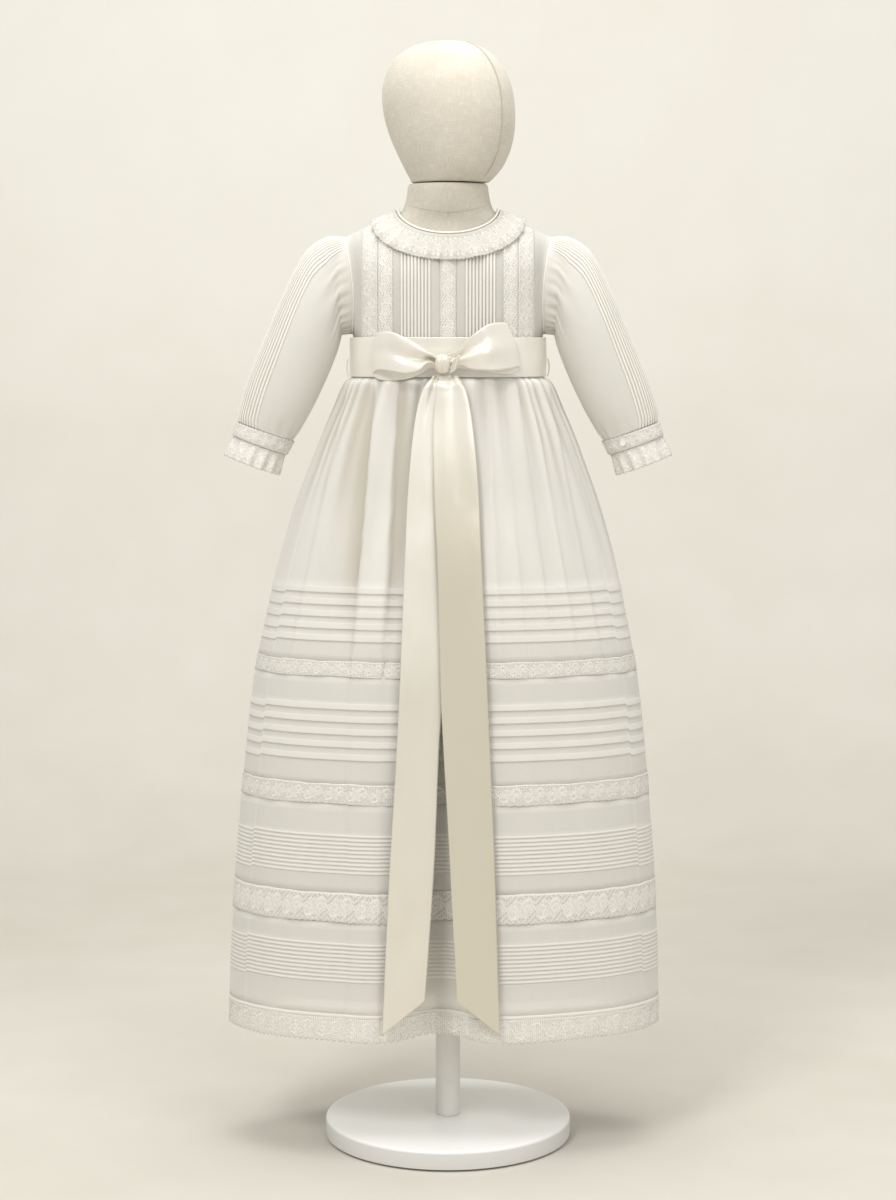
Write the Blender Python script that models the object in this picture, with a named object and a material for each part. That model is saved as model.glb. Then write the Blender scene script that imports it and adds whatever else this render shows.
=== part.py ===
"""A christening gown with its satin sash, worn by a limbless linen dress form on a turned stand.

Sizes are millimetres and become metres when a mesh is made. +Z is up from the floor, +X is the
viewer's right, and the front of the gown faces -Y. Sides are named as the viewer sees them.
"""

import math
from collections import namedtuple

import bmesh
import bpy
from mathutils import Vector

MM = 0.001
TAU = 2 * math.pi
SEAM_GAP = 0.3
LEFT = -1
RIGHT = 1

# Cloth thicknesses

VOILE = 1.6
LACE = 1.2
SATIN = 1.2
BODICE_CLOTH = 1.4
HEM_CLOTH = 2.0

# Stand

BASE_RADIUS = 130.0
BASE_TOP = 21.5
BASE_EDGE = 3.5
PAD_RADIUS = 124.0
PAD_HEIGHT = 1.8
POLE_RADIUS = 13.0
FORM_BOTTOM = 690.0
NECK_TOP = 1001.1
HEAD_TURN = math.radians(46)

# Waist, sash and bodice heights

SASH_BOTTOM = 804.0
SASH_TOP = 844.0
SASH_HALF_WIDTH = 101.2
SASH_HALF_DEPTH = 60.4
SASH_SWELL = 0.6
SASH_CLOTH = 1.6
WAIST_SEAM = 822.0
WAIST_POWER = 2.5
NECK_HALF = 52.0
NECK_SIDE_Z = 973.0
NECK_FRONT_Z = 947.0
NECK_BACK_Z = 962.0
SHOULDER_SLOPE = 0.49
SHOULDER_ROUND_Z = 900.0
ARM_DEPTH = 24.0
ARM_BOTTOM = 847.5
ARM_END_X = 106.0
ARMHOLE_GAP = 0.8
BODICE_DEPTH = 58.0
WAIST_DEPTH = 56.5
EDGE = 1e4
SHARES = (0.0, 0.3, 0.56, 0.76, 0.89, 0.965, 0.992, 1.0)

# Bodice front bands, as distances from the centre line

CENTRE_LACE = 8.0
TUCK_START = 17.5
TUCK_PITCH = 3.5
BODICE_TUCKS = 9
TUCK_RISE = 1.0
INNER_LACE = (56.0, 71.0)
OUTER_LACE = (71.4, 88.0)
LACE_CLEAR = 0.35

# Bodice back

PLACKET_HALF = 6.0
PLACKET_RISE = 1.0
BACK_BUTTONS = (0.37, 0.62, 0.86)
BUTTON_RADIUS = 3.6
CUFF_BUTTON_RADIUS = 3.0
BUTTON_THICK = 1.8
BUTTON_SEAT = 0.25

# Skirt rows

UPPER_TUCK_TOP = 592.0
UPPER_TUCK_PITCH = 12.2
LOWER_TUCK_TOP = 474.0
LOWER_TUCK_PITCH = 12.9
WIDE_TUCKS = 5
WIDE_TUCK_DROP = 6.3
WIDE_TUCK_RISE = 1.9
PINTUCKS = 10
PINTUCK_PITCH = 4.2
PINTUCK_RISE = 1.2
LACE_ROWS = ((516.0, 501.0), (391.0, 371.0), (279.0, 249.0))
THIRD_TIER_TUCKS = 340.0
FOURTH_TIER_TUCKS = 228.0
HEM_FOLD = (154.0, 150.0)
HEM_LACE_BOTTOM = 125.0
SLIP_LEVELS = ((821.7, 2.5), (804.2, 2.5), (789, 7.4), (604, 7.5), (380, 7.0), (166.0, 7.0))
GATHERS = 36
BROAD_FOLDS = 18
VALLEY_X = -7.0
VALLEY_WIDTH = 36.0
FRONT_SPAN = math.radians(26)
FRONT_STEPS = 8
SIDE_STEPS = 20

Skirt = namedtuple("Skirt", "z half_width half_depth shift power gather fold valley")
SKIRT = (
    Skirt(822, 98.0, 57.0, 0.0, 2.5, 0.0, 0.0, 0.0),
    Skirt(804.2, 98.7, 57.7, 0.0, 2.5, 0.4, 0.0, 0.0),
    Skirt(799, 106.5, 66.0, 0.0, 2.4, 3.0, 0.3, 0.0),
    Skirt(789, 112.5, 68.5, 0.0, 2.35, 3.6, 0.8, 0.0),
    Skirt(774, 119.0, 71.0, -0.2, 2.3, 3.4, 1.6, 0.0),
    Skirt(742, 133.0, 76.0, -0.5, 2.2, 2.4, 3.2, 0.0),
    Skirt(712, 144.5, 79.8, -0.8, 2.1, 1.4, 4.0, 0.0),
    Skirt(678, 157.0, 83.0, -1.0, 2.0, 0.6, 4.2, 0.0),
    Skirt(640, 168.5, 87.0, -1.2, 2.0, 0.0, 3.4, 0.0),
    Skirt(604, 178.0, 89.5, -1.3, 2.0, 0.0, 1.2, 0.3),
    Skirt(565, 186.0, 91.0, -1.5, 2.0, 0.0, 0.0, 2.0),
    Skirt(496, 200.0, 94.0, -2.0, 2.0, 0.0, 0.0, 6.0),
    Skirt(396, 211.5, 98.0, -2.5, 2.0, 0.0, 0.0, 13.0),
    Skirt(300, 220.0, 101.0, -3.2, 2.0, 0.0, 0.0, 21.0),
    Skirt(216, 225.0, 103.0, -3.8, 2.0, 0.0, 0.0, 28.0),
    Skirt(160, 227.0, 104.5, -4.2, 2.0, 0.0, 0.0, 36.0),
    Skirt(120, 227.5, 105.0, -4.5, 2.0, 0.0, 0.0, 43.0),
)

Chest = namedtuple("Chest", "z half_width depth")
CHEST = (
    Chest(800, 98.0, WAIST_DEPTH), Chest(846, 98.0, WAIST_DEPTH), Chest(900, 102.0, BODICE_DEPTH),
    Chest(947, 106.0, BODICE_DEPTH), Chest(980, 109.0, BODICE_DEPTH),
)

Sleeve = namedtuple("Sleeve", "top_x top_z low_x low_z half_depth puff")
SLEEVE = (
    Sleeve(114.0, 947.0, 109.5, 846.0, 27.0, 1.6),
    Sleeve(127.0, 945.0, 113.0, 833.0, 31.0, 2.2),
    Sleeve(146.0, 931.5, 119.5, 816.0, 35.0, 1.4),
    Sleeve(166.0, 895.5, 128.5, 796.0, 37.5, 0.3),
    Sleeve(187.0, 848.0, 140.5, 770.0, 36.0, 0.4),
    Sleeve(205.0, 805.0, 151.5, 750.5, 31.5, 1.3),
    Sleeve(216.0, 770.0, 159.0, 740.5, 27.0, 1.2),
    Sleeve(216.8, 757.5, 161.0, 738.0, 25.0, 0.3),
)
CUFF_TOP = Sleeve(217.6, 757.0, 160.6, 737.5, 25.6, 0.0)
CUFF_BOTTOM = Sleeve(221.8, 743.2, 168.0, 723.6, 25.0, 0.0)
CUFF_LACE_TOP = Sleeve(222.4, 742.9, 167.6, 723.2, 25.4, 0.4)
CUFF_LACE_BOTTOM = Sleeve(231.0, 722.6, 175.6, 702.0, 28.0, 2.6)
SLEEVE_TUCKS = 10
SLEEVE_TUCK_PITCH = 3.7
SLEEVE_TUCK_RISE = 0.9
CUFF_LACE_WAVES = 13
CUFF_LAP = math.radians(104)
CUFF_LAP_FROM = 0.72 * TAU
CUFF_LAP_RISE = 0.9
CUFF_BUTTON_SEAT = 0.8
SLEEVE_REST = 12

# Collar and bow

COLLAR_WAVES = 17
COLLAR_REACH = 22.0
COLLAR_FRONT_Z = 922.0
COLLAR_SIDE_Z = 962.0
COLLAR_BACK_Z = 938.0
COLLAR_WAVE = 3.6
COLLAR_LIFT = 1.5
BACK_SLIT = math.radians(1.2)
BINDING_HEIGHT = 2.6
BINDING_HALF = 1.1
BINDING_LIFT = 0.55
BELT_LOOP_Z = 813.0
BELT_LOOP_HALF = 9.0
BELT_LOOP_OUT = 1.75
BELT_LOOP_BOW = 1.6
BELT_LOOP_RADIUS = 0.8
KNOT_CENTRE = Vector((-5.5, -73.0, 817.5))
KNOT_HALF = Vector((7.6, 9.0, 9.4))

KNOT_WAIST = 0.08
LOOP_CLEAR = 5.1
LOOP_SWING = 7.0
LOOP_THIN = 3.2
LOOP_BELLY = 8.2

Loop = namedtuple("Loop", "root_x tip_x root_z tip_z root_half tip_half lean")
BOW_LOOPS = {
    "left": Loop(-13.6, -73.5, 818.0, 827.5, 8.5, 20.5, 4.0),
    "right": Loop(2.6, 67.5, 818.5, 831.5, 8.5, 23.5, -7.5),
}

Tail = namedtuple("Tail", "z left right")
LEFT_TAIL = (
    Tail(806, -15, -9.5), Tail(790, -26, -12), Tail(755, -34, -15.2), Tail(687, -40.5, -14.4),
    Tail(621, -43.5, -11.4), Tail(480, -49.5, -7.6), Tail(395, -54, -10.5), Tail(313, -59, -13.7),
    Tail(218, -63.7, -20.0), Tail(174, -65.5, -23.4),
)
RIGHT_TAIL = (
    Tail(806, -8.9, 10), Tail(790, -11.2, 18.5), Tail(755, -14.6, 25), Tail(687, -13.8, 31),
    Tail(621, -10.8, 34), Tail(480, -7.0, 40.3), Tail(345, 0.4, 46.1), Tail(267, 4.3, 48.9),
    Tail(174, 9.2, 51.5),
)
TAIL_TIP_Z = 135.5
TAIL_CLEAR = 4.6
TAIL_SPREAD = 1.8

# Dress form

Ring = namedtuple("Ring", "z half_width half_depth shift")
FORM_LOWER = (
    Ring(690, 60, 35, 0), Ring(696, 76, 44, 0), Ring(715, 86, 49, 0), Ring(822, 90, 51, 0), Ring(870, 94, 52, 0),
)
FORM_SHOULDER_LEVELS = (905.0, 926.0, 941.0, 952.0, 962.0)
FORM_INSET = 2.2
FORM_THIN = 0.91
FORM_POWER = 2.4
NECK_POWER = 2.0
FORM_NECK = (
    Ring(969, 48.5, 34.5, 0), Ring(976, 45.2, 36.5, 0), Ring(987, 42.3, 38.8, -1), Ring(NECK_TOP, 41, 40, -1.5),
)
HEAD = (
    Ring(1001.5, 37, 33, 3), Ring(1005, 44, 39, 5), Ring(1015, 53.5, 46, 8), Ring(1032, 63, 53, 8),
    Ring(1052, 70.5, 58.5, 5), Ring(1075, 74.5, 61, 1), Ring(1097, 74, 60, -2), Ring(1117, 66, 54, -4),
    Ring(1132, 53, 43.5, -5), Ring(1141, 36, 30, -5), Ring(1145.5, 15, 13, -5),
)

# Colours, linear, with roughness and metallic value

Finish = namedtuple("Finish", "colour roughness metallic")
FINISHES = {
    "voile": Finish((0.78, 0.75, 0.69), 0.85, 0.0),
    "lining": Finish((0.84, 0.82, 0.77), 0.85, 0.0),
    "lace": Finish((0.80, 0.77, 0.71), 0.9, 0.0),
    "thread": Finish((0.80, 0.78, 0.73), 0.85, 0.0),
    "satin": Finish((0.84, 0.80, 0.69), 0.35, 0.0),
    "linen": Finish((0.66, 0.59, 0.46), 0.9, 0.0),
    "white_paint": Finish((0.82, 0.82, 0.81), 0.35, 0.0),
    "pearl": Finish((0.86, 0.84, 0.78), 0.2, 0.0),
    "pad_rubber": Finish((0.03, 0.03, 0.03), 0.8, 0.0),
}


def clear_scene():
    """Remove what the startup file holds."""
    for item in list(bpy.data.objects):
        bpy.data.objects.remove(item)


def material(name):
    """The named finish as a Principled material, made once."""
    found = bpy.data.materials.get(name)
    if found:
        return found
    finish = FINISHES[name]
    made = bpy.data.materials.new(name)
    made.use_nodes = True
    shader = made.node_tree.nodes["Principled BSDF"]
    shader.inputs["Base Color"].default_value = (*finish.colour, 1.0)
    shader.inputs["Roughness"].default_value = finish.roughness
    shader.inputs["Metallic"].default_value = finish.metallic
    return made


def add_object(name, shape, finish):
    """Turn a closed bmesh in millimetres into a named object in metres."""
    bmesh.ops.recalc_face_normals(shape, faces=shape.faces)
    if shape.calc_volume(signed=True) < 0:
        bmesh.ops.reverse_faces(shape, faces=shape.faces)
    bmesh.ops.scale(shape, vec=(MM, MM, MM), verts=shape.verts)
    mesh = bpy.data.meshes.new(name)
    shape.to_mesh(mesh)
    shape.free()
    mesh.shade_smooth()
    mesh.set_sharp_from_angle(angle=math.radians(38))
    mesh.materials.append(material(finish))
    made = bpy.data.objects.new(name, mesh)
    bpy.context.scene.collection.objects.link(made)
    return made


def column_at(table, name, z):
    """A column of a table read at height z along a smooth curve through its rows."""
    rows = sorted(table, key=lambda row: row.z)
    if z <= rows[0].z:
        return getattr(rows[0], name)
    if z >= rows[-1].z:
        return getattr(rows[-1], name)
    last = len(rows) - 1
    i = max(k for k in range(last) if rows[k].z <= z)

    def slope(k):
        low = rows[max(k - 1, 0)]
        high = rows[min(k + 1, last)]
        return (getattr(high, name) - getattr(low, name)) / (high.z - low.z)

    span = rows[i + 1].z - rows[i].z
    t = (z - rows[i].z) / span
    start = getattr(rows[i], name)
    end = getattr(rows[i + 1], name)
    smooth = t * t * (3 - 2 * t)
    bend = span * (t * (1 - t) ** 2 * slope(i) - t * t * (1 - t) * slope(i + 1))
    return start + (end - start) * smooth + bend


def signed_power(value, power):
    """The power of a value's size, with the value's sign."""
    return math.copysign(abs(value) ** power, value)


def oval(angle, half_width, half_depth, power):
    """A point of a superellipse and its outward normal. Angle 0 is the front, -Y."""
    x = half_width * signed_power(math.sin(angle), 2 / power)
    y = -half_depth * signed_power(math.cos(angle), 2 / power)
    normal = Vector((
        signed_power(x / half_width, power - 1) / half_width,
        signed_power(y / half_depth, power - 1) / half_depth,
        0.0,
    ))
    return Vector((x, y, 0.0)), normal.normalized()


def zip_rows(shape, first, second):
    """Faces between two runs of (key, vertex): quads where the keys agree, triangles elsewhere."""
    i = j = 0
    while i < len(first) - 1 or j < len(second) - 1:
        next_first = first[i + 1][0] if i < len(first) - 1 else math.inf
        next_second = second[j + 1][0] if j < len(second) - 1 else math.inf
        here = [first[i][1], second[j][1]]
        if abs(next_first - next_second) < 1e-6:
            shape.faces.new((here[0], first[i + 1][1], second[j + 1][1], here[1]))
            i += 1
            j += 1
        elif next_first < next_second:
            shape.faces.new((here[0], first[i + 1][1], here[1]))
            i += 1
        else:
            shape.faces.new((here[0], second[j + 1][1], here[1]))
            j += 1


def wall(name, outer, inner, finish, closed=True):
    """A cloth wall between an outer and an inner skin.

    Each skin is a list of rows from top to bottom, and a row is a list of (key, point) whose keys
    rise round the piece. A closed wall is a tube, an open one is a panel with four edges.
    """
    shape = bmesh.new()

    def skin(rows):
        made = []
        for row in rows:
            line = [(key, shape.verts.new(point)) for key, point in row]
            if closed:
                line.append((line[0][0] + TAU, line[0][1]))
            made.append(line)
        return made

    def edge(rows, column):
        last = len(rows) - 1
        return [(k / last, row[column][1]) for k, row in enumerate(rows)]

    outside = skin(outer)
    inside = skin(inner)
    for rows in (outside, inside):
        for upper, lower in zip(rows, rows[1:]):
            zip_rows(shape, upper, lower)
    zip_rows(shape, outside[0], inside[0])
    zip_rows(shape, outside[-1], inside[-1])
    if not closed:
        zip_rows(shape, edge(outside, 0), edge(inside, 0))
        zip_rows(shape, edge(outside, -1), edge(inside, -1))
    return add_object(name, shape, finish)


def loft(name, rings, finish):
    """A solid through a list of rings of points, closed with a fan at each end."""
    shape = bmesh.new()
    lines = []
    for ring in rings:
        line = [(k, shape.verts.new(point)) for k, point in enumerate(ring)]
        line.append((len(ring), line[0][1]))
        lines.append(line)
    for lower, upper in zip(lines, lines[1:]):
        zip_rows(shape, lower, upper)
    for line in (lines[0], lines[-1]):
        middle = sum((vert.co for _, vert in line[:-1]), Vector()) / (len(line) - 1)
        hub = shape.verts.new(middle)
        for (_, first), (_, second) in zip(line, line[1:]):
            shape.faces.new((first, second, hub))
    return add_object(name, shape, finish)


def disc(name, profile, segments, finish):
    """A turned solid from (radius, z) pairs, low to high."""
    rings = [
        [Vector((r * math.cos(TAU * k / segments), r * math.sin(TAU * k / segments), z)) for k in range(segments)]
        for r, z in profile
    ]
    return loft(name, rings, finish)


def skirt_point(angle, z, inset=0.0, rise=0.0, folded=True):
    """A point of the skirt's outer face, moved in by inset and out by rise."""
    row = {name: column_at(SKIRT, name, z) for name in Skirt._fields if name != "z"}
    point, normal = oval(angle, row["half_width"], row["half_depth"], row["power"])
    depth = inset - rise
    if folded:
        uneven = 0.75 + 0.25 * math.cos(5 * angle + 1.1)
        depth += row["gather"] * (1 - math.cos(GATHERS * angle)) / 2
        depth += row["fold"] * uneven * (1 - math.cos(BROAD_FOLDS * angle)) / 2
    point -= normal * depth
    if math.cos(angle) > 0:
        reach = (point.x - VALLEY_X) / VALLEY_WIDTH
        point.y += row["valley"] * math.exp(-reach * reach)
    return Vector((point.x + row["shift"], point.y, z))


def even_angles(count):
    """Angles all round, from the centre back."""
    return [TAU * k / count - math.pi for k in range(count)]


def skirt_angles():
    """Angles all round from the centre back, closer together over the front valley."""
    side = (TAU - 2 * FRONT_SPAN) / SIDE_STEPS
    half = SIDE_STEPS // 2
    angles = [-math.pi + side * k for k in range(half)]
    angles += [-FRONT_SPAN + 2 * FRONT_SPAN * k / FRONT_STEPS for k in range(FRONT_STEPS)]
    angles += [FRONT_SPAN + side * k for k in range(half)]
    return angles


def skirt_row(angles, z, **options):
    return [(angle, skirt_point(angle, z, **options)) for angle in angles]


def wide_tuck_rows(angles, top, pitch):
    """Rows of points for tucks that fold down: each has a stitch line, a lip and a foot."""
    rows = []
    for k in range(WIDE_TUCKS):
        stitch = top - pitch * k
        lip = stitch - WIDE_TUCK_DROP
        rows.append(skirt_row(angles, stitch))
        rows.append(skirt_row(angles, lip, rise=WIDE_TUCK_RISE))
        rows.append(skirt_row(angles, lip - 0.5, rise=0.15))
    return rows


def pintuck_rows(angles, top):
    """Rows for a band of fine ridges."""
    rows = []
    for k in range(PINTUCKS):
        stitch = top - PINTUCK_PITCH * k
        rows.append(skirt_row(angles, stitch))
        rows.append(skirt_row(angles, stitch - PINTUCK_PITCH * 0.6, rise=PINTUCK_RISE))
    rows.append(skirt_row(angles, top - PINTUCK_PITCH * PINTUCKS))
    return rows


def skirt_ring(name, top, bottom, finish, rows=(), thickness=VOILE, inset=0.0):
    """A tier, lace strip or hem of the skirt, from top to bottom."""
    angles = skirt_angles()
    middle = (top + bottom) / 2
    outer = [skirt_row(angles, top, inset=inset), *rows, skirt_row(angles, bottom, inset=inset)]
    heights = (top, middle, bottom) if top - bottom > 40 else (top, bottom)
    inner = [skirt_row(angles, z, inset=inset + thickness) for z in heights]
    return wall(name, outer, inner, finish)


def build_skirt():
    angles = skirt_angles()
    fine = even_angles(2 * GATHERS)
    first_lace, second_lace, third_lace = LACE_ROWS
    gathered = [skirt_row(fine, z) for z in (821.7, 804.2, 799, 789, 774, 742, 705, 660, 604)]
    tucks = wide_tuck_rows(angles, UPPER_TUCK_TOP, UPPER_TUCK_PITCH)
    outer = [*gathered, *tucks, skirt_row(angles, first_lace[0] + SEAM_GAP)]
    inner = [skirt_row(fine, z, inset=VOILE) for z in (821.7, 804.2, 799, 774, 705, 604)]
    inner.append(skirt_row(angles, first_lace[0] + SEAM_GAP, inset=VOILE))
    wall("skirt_upper", outer, inner, "voile")
    for k, (top, bottom) in enumerate(LACE_ROWS, start=1):
        skirt_ring(f"skirt_lace_{k}", top, bottom, "lace", thickness=LACE, inset=0.2)
    second = wide_tuck_rows(angles, LOWER_TUCK_TOP, LOWER_TUCK_PITCH)
    skirt_ring("skirt_tier_2", first_lace[1] - SEAM_GAP, second_lace[0] + SEAM_GAP, "voile", second)
    third = pintuck_rows(angles, THIRD_TIER_TUCKS)
    skirt_ring("skirt_tier_3", second_lace[1] - SEAM_GAP, third_lace[0] + SEAM_GAP, "voile", third)
    fourth = pintuck_rows(angles, FOURTH_TIER_TUCKS)
    skirt_ring("skirt_tier_4", third_lace[1] - SEAM_GAP, HEM_FOLD[0] + SEAM_GAP, "voile", fourth)
    skirt_ring("hem_band", HEM_FOLD[0], HEM_FOLD[1], "voile", thickness=HEM_CLOTH)
    skirt_ring("hem_lace", HEM_FOLD[1] - SEAM_GAP, HEM_LACE_BOTTOM, "lace", thickness=LACE, inset=0.3)


def build_slip():
    """The lining skirt, sewn in at the waist inside the gathers."""
    angles = skirt_angles()
    outer = [skirt_row(angles, z, inset=inset, folded=False) for z, inset in SLIP_LEVELS]
    inner = [skirt_row(angles, z, inset=inset + LACE, folded=False) for z, inset in SLIP_LEVELS]
    wall("slip_skirt", outer, inner, "lining")


def shoulder_height(x, inset=0.0):
    return NECK_SIDE_Z - 1.1 * inset - SHOULDER_SLOPE * (abs(x) - NECK_HALF)


def chest_y(x, z, inset=0.0):
    """How far the bodice's front or back face lies from the plane of its seams."""
    half_width = column_at(CHEST, "half_width", z) - inset
    rise = max(0.0, (z - SHOULDER_ROUND_Z) / (shoulder_height(x, inset) - SHOULDER_ROUND_Z))
    depth = (column_at(CHEST, "depth", z) - inset) * math.sqrt(max(0.0, 1 - rise * rise))
    across = min(1.0, abs(x) / half_width) ** WAIST_POWER
    return depth * (1 - across) ** (1 / WAIST_POWER)


def arm_top():
    return shoulder_height(ARM_END_X)


def arm_edge(z):
    """(x, y) of the armhole and side seam at height z, for one side's front."""
    middle = (arm_top() + ARM_BOTTOM) / 2
    reach = (z - middle) / (arm_top() - middle)
    y = ARM_DEPTH * math.sqrt(max(0.0, 1 - reach * reach))
    half_width = column_at(CHEST, "half_width", z)
    return half_width * (1 - (y / BODICE_DEPTH) ** WAIST_POWER) ** (1 / WAIST_POWER), y


def neck_height(x, lowest):
    """The neckline's height at x, from its lowest point to the shoulder."""
    across = min(1.0, abs(x) / NECK_HALF)
    return lowest + (NECK_SIDE_Z - lowest) * (1 - math.sqrt(1 - across * across))


def bodice_point(x, share, face, lowest, inset=0.0, rise=0.0):
    """A point of the front (face -1) or back (face 1), share of the way up from the waist seam."""
    foot = WAIST_SEAM + SEAM_GAP
    if abs(x) == EDGE:
        z = foot + share * (arm_top() - foot)
        edge_x, edge_y = arm_edge(z)
        side_x = math.copysign(edge_x - 0.9 * inset, x)
        return Vector((side_x, face * max(edge_y - 0.3 * inset, SEAM_GAP / 2), z))
    top = neck_height(x, lowest) if abs(x) < NECK_HALF else shoulder_height(x, inset)
    z = foot + share * (top - foot)
    fade = min(1.0, (1 - share) * 6)
    y = max(chest_y(x, z, inset), SEAM_GAP / 2) + rise * fade
    return Vector((x, face * y, z))


def bodice_panel(name, columns, inner_columns, face, lowest):
    """A bodice panel from (x, rise) columns, its edges at the armholes where x is EDGE."""
    outer = []
    inner = []
    for share in reversed(SHARES):
        outer.append([(x, bodice_point(x, share, face, lowest, rise=rise)) for x, rise in columns])
        inner.append([(x, bodice_point(x, share, face, lowest, inset=BODICE_CLOTH)) for x in inner_columns])
    return wall(name, outer, inner, "voile", closed=False)


def tuck_columns():
    """(x, rise) columns of one side's pintucks, from the centre out."""
    columns = []
    for k in range(BODICE_TUCKS):
        start = TUCK_START + TUCK_PITCH * k
        columns.append((start, 0.0))
        columns.append((start + 0.55 * TUCK_PITCH, TUCK_RISE))
    columns.append((TUCK_START + TUCK_PITCH * BODICE_TUCKS, 0.0))
    return columns


def front_columns():
    half = [(CENTRE_LACE, 0.0), *tuck_columns(), (INNER_LACE[0], 0.0), (INNER_LACE[1], 0.0)]
    half += [(OUTER_LACE[1], 0.0), (EDGE, 0.0)]
    mirrored = [(-x, rise) for x, rise in reversed(half)]
    return [*mirrored, *half]


def lace_strip(name, first, last):
    """A lace insertion on the bodice front, made from the panel's points and moved out."""
    outer = []
    inner = []
    for share in reversed(SHARES[:-1]):
        span = (first, last)
        outer.append([(x, bodice_point(x, share, -1, NECK_FRONT_Z, rise=LACE_CLEAR + LACE)) for x in span])
        inner.append([(x, bodice_point(x, share, -1, NECK_FRONT_Z, rise=LACE_CLEAR)) for x in span])
    return wall(name, outer, inner, "lace", closed=False)


def button(name, centre, normal, radius):
    """A low round button that faces along normal, with its back at centre."""
    turn = Vector((0, 0, 1)).rotation_difference(normal.normalized())
    profile = ((radius, 0.0), (radius * 0.72, BUTTON_THICK))
    rings = []
    for r, z in profile:
        ring = [Vector((r * math.cos(TAU * k / 10), r * math.sin(TAU * k / 10), z)) for k in range(10)]
        rings.append([centre + turn @ point for point in ring])
    return loft(name, rings, "pearl")


def build_bodice():
    inner = (-EDGE, -88, -70, -51, -34, -17, 0, 17, 34, 51, 70, 88, EDGE)
    bodice_panel("bodice_front", front_columns(), inner, -1, NECK_FRONT_Z)
    lace_strip("bodice_lace_centre", -CENTRE_LACE, CENTRE_LACE)
    for word, side in (("left", LEFT), ("right", RIGHT)):
        for band, edges in (("inner", INNER_LACE), ("outer", OUTER_LACE)):
            first, last = sorted((side * edges[0], side * edges[1]))
            lace_strip(f"bodice_lace_{band}_{word}", first, last)
    spread = (20, 36, 51, 62, 75, 88, EDGE)
    lap = ((-PLACKET_HALF, PLACKET_RISE), (PLACKET_HALF, PLACKET_RISE), (PLACKET_HALF + 0.6, 0.0))
    right = [*lap, *((x, 0.0) for x in spread)]
    left = [*((-x, 0.0) for x in reversed(spread)), (-PLACKET_HALF - SEAM_GAP, 0.0)]
    bodice_panel("bodice_back_right", right, [-PLACKET_HALF, *spread], 1, NECK_BACK_Z)
    bodice_panel("bodice_back_left", left, [x for x, _ in left], 1, NECK_BACK_Z)
    for k, share in enumerate(BACK_BUTTONS, start=1):
        seat = bodice_point(0.0, share, 1, NECK_BACK_Z, rise=PLACKET_RISE)
        above = bodice_point(0.0, share + 0.02, 1, NECK_BACK_Z, rise=PLACKET_RISE)
        along = (above - seat).normalized()
        normal = Vector((0, along.z, -along.y))
        button(f"back_button_{k}", seat + normal * BUTTON_SEAT, normal, BUTTON_RADIUS)


def collar_path(angle, reach):
    """A point on the bodice's outer face, reach 0 at the neckline and 1 at the collar's edge."""
    front = math.cos(angle) > 0
    turn = 1 - abs(math.cos(angle))
    x = (NECK_HALF + COLLAR_REACH * reach) * math.sin(angle)
    inner_z = (NECK_FRONT_Z if front else NECK_BACK_Z)
    inner_z += (NECK_SIDE_Z - inner_z) * turn
    outer_z = (COLLAR_FRONT_Z if front else COLLAR_BACK_Z)
    outer_z += (COLLAR_SIDE_Z - outer_z) * turn
    z = min(inner_z + (outer_z - inner_z) * reach, shoulder_height(x))
    return Vector((x, (-1 if front else 1) * chest_y(x, z), z))


def collar_normal(angle, reach):
    step = 0.04
    along = collar_path(angle + step, reach) - collar_path(angle - step, reach)
    away = collar_path(angle, reach + step) - collar_path(angle, reach - step)
    return along.cross(away).normalized()


def build_collar():
    """The gathered lace collar, open at the centre back, and the satin binding above it."""
    count = 4 * COLLAR_WAVES
    span = TAU - 2 * BACK_SLIT
    angles = [-math.pi + BACK_SLIT + span * k / count for k in range(count + 1)]
    outer = []
    inner = []
    for reach in (0.06, 0.55, 1.0):
        swell = COLLAR_WAVE * reach * reach
        for rows, extra in ((outer, LACE), (inner, 0.0)):
            row = []
            for angle in angles:
                wave = swell * (1 - math.cos(COLLAR_WAVES * angle)) / 2
                lift = COLLAR_LIFT + wave + extra
                row.append((angle, collar_path(angle, reach) - collar_normal(angle, reach) * lift))
            rows.append(row)
    wall("collar_ruffle", outer, inner, "lace", closed=False)
    binding_angles = angles[::2]
    rows = {}
    for key, height, out in (("a", 1.0, 1), ("b", 0.0, 1), ("c", 1.0, -1), ("d", 0.0, -1)):
        row = []
        for angle in binding_angles:
            seat = collar_path(angle, 0.0)
            away = Vector((math.sin(angle), -math.cos(angle), 0.0))
            middle = seat - away * (0.5 * BODICE_CLOTH)
            lift = BINDING_LIFT + BINDING_HEIGHT * height
            row.append((angle, middle + away * (out * BINDING_HALF) + Vector((0, 0, lift))))
        rows[key] = row
    wall("neck_binding", [rows["a"], rows["b"]], [rows["c"], rows["d"]], "satin", closed=False)


def section_point(section, side, angle, inset=0.0, rise=0.0):
    """A point of a sleeve's section: angle 0 is its top edge, a quarter turn on is its front."""
    top = Vector((section.top_x, 0, section.top_z))
    low = Vector((section.low_x, 0, section.low_z))
    half = (top - low) / 2
    length = half.length
    depth = rise - inset
    grown = half.normalized() * (length + depth)
    y = -(section.half_depth + depth) * math.sin(angle)
    point = (top + low) / 2 + grown * math.cos(angle)
    return Vector((side * point.x, y, point.z))


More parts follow.
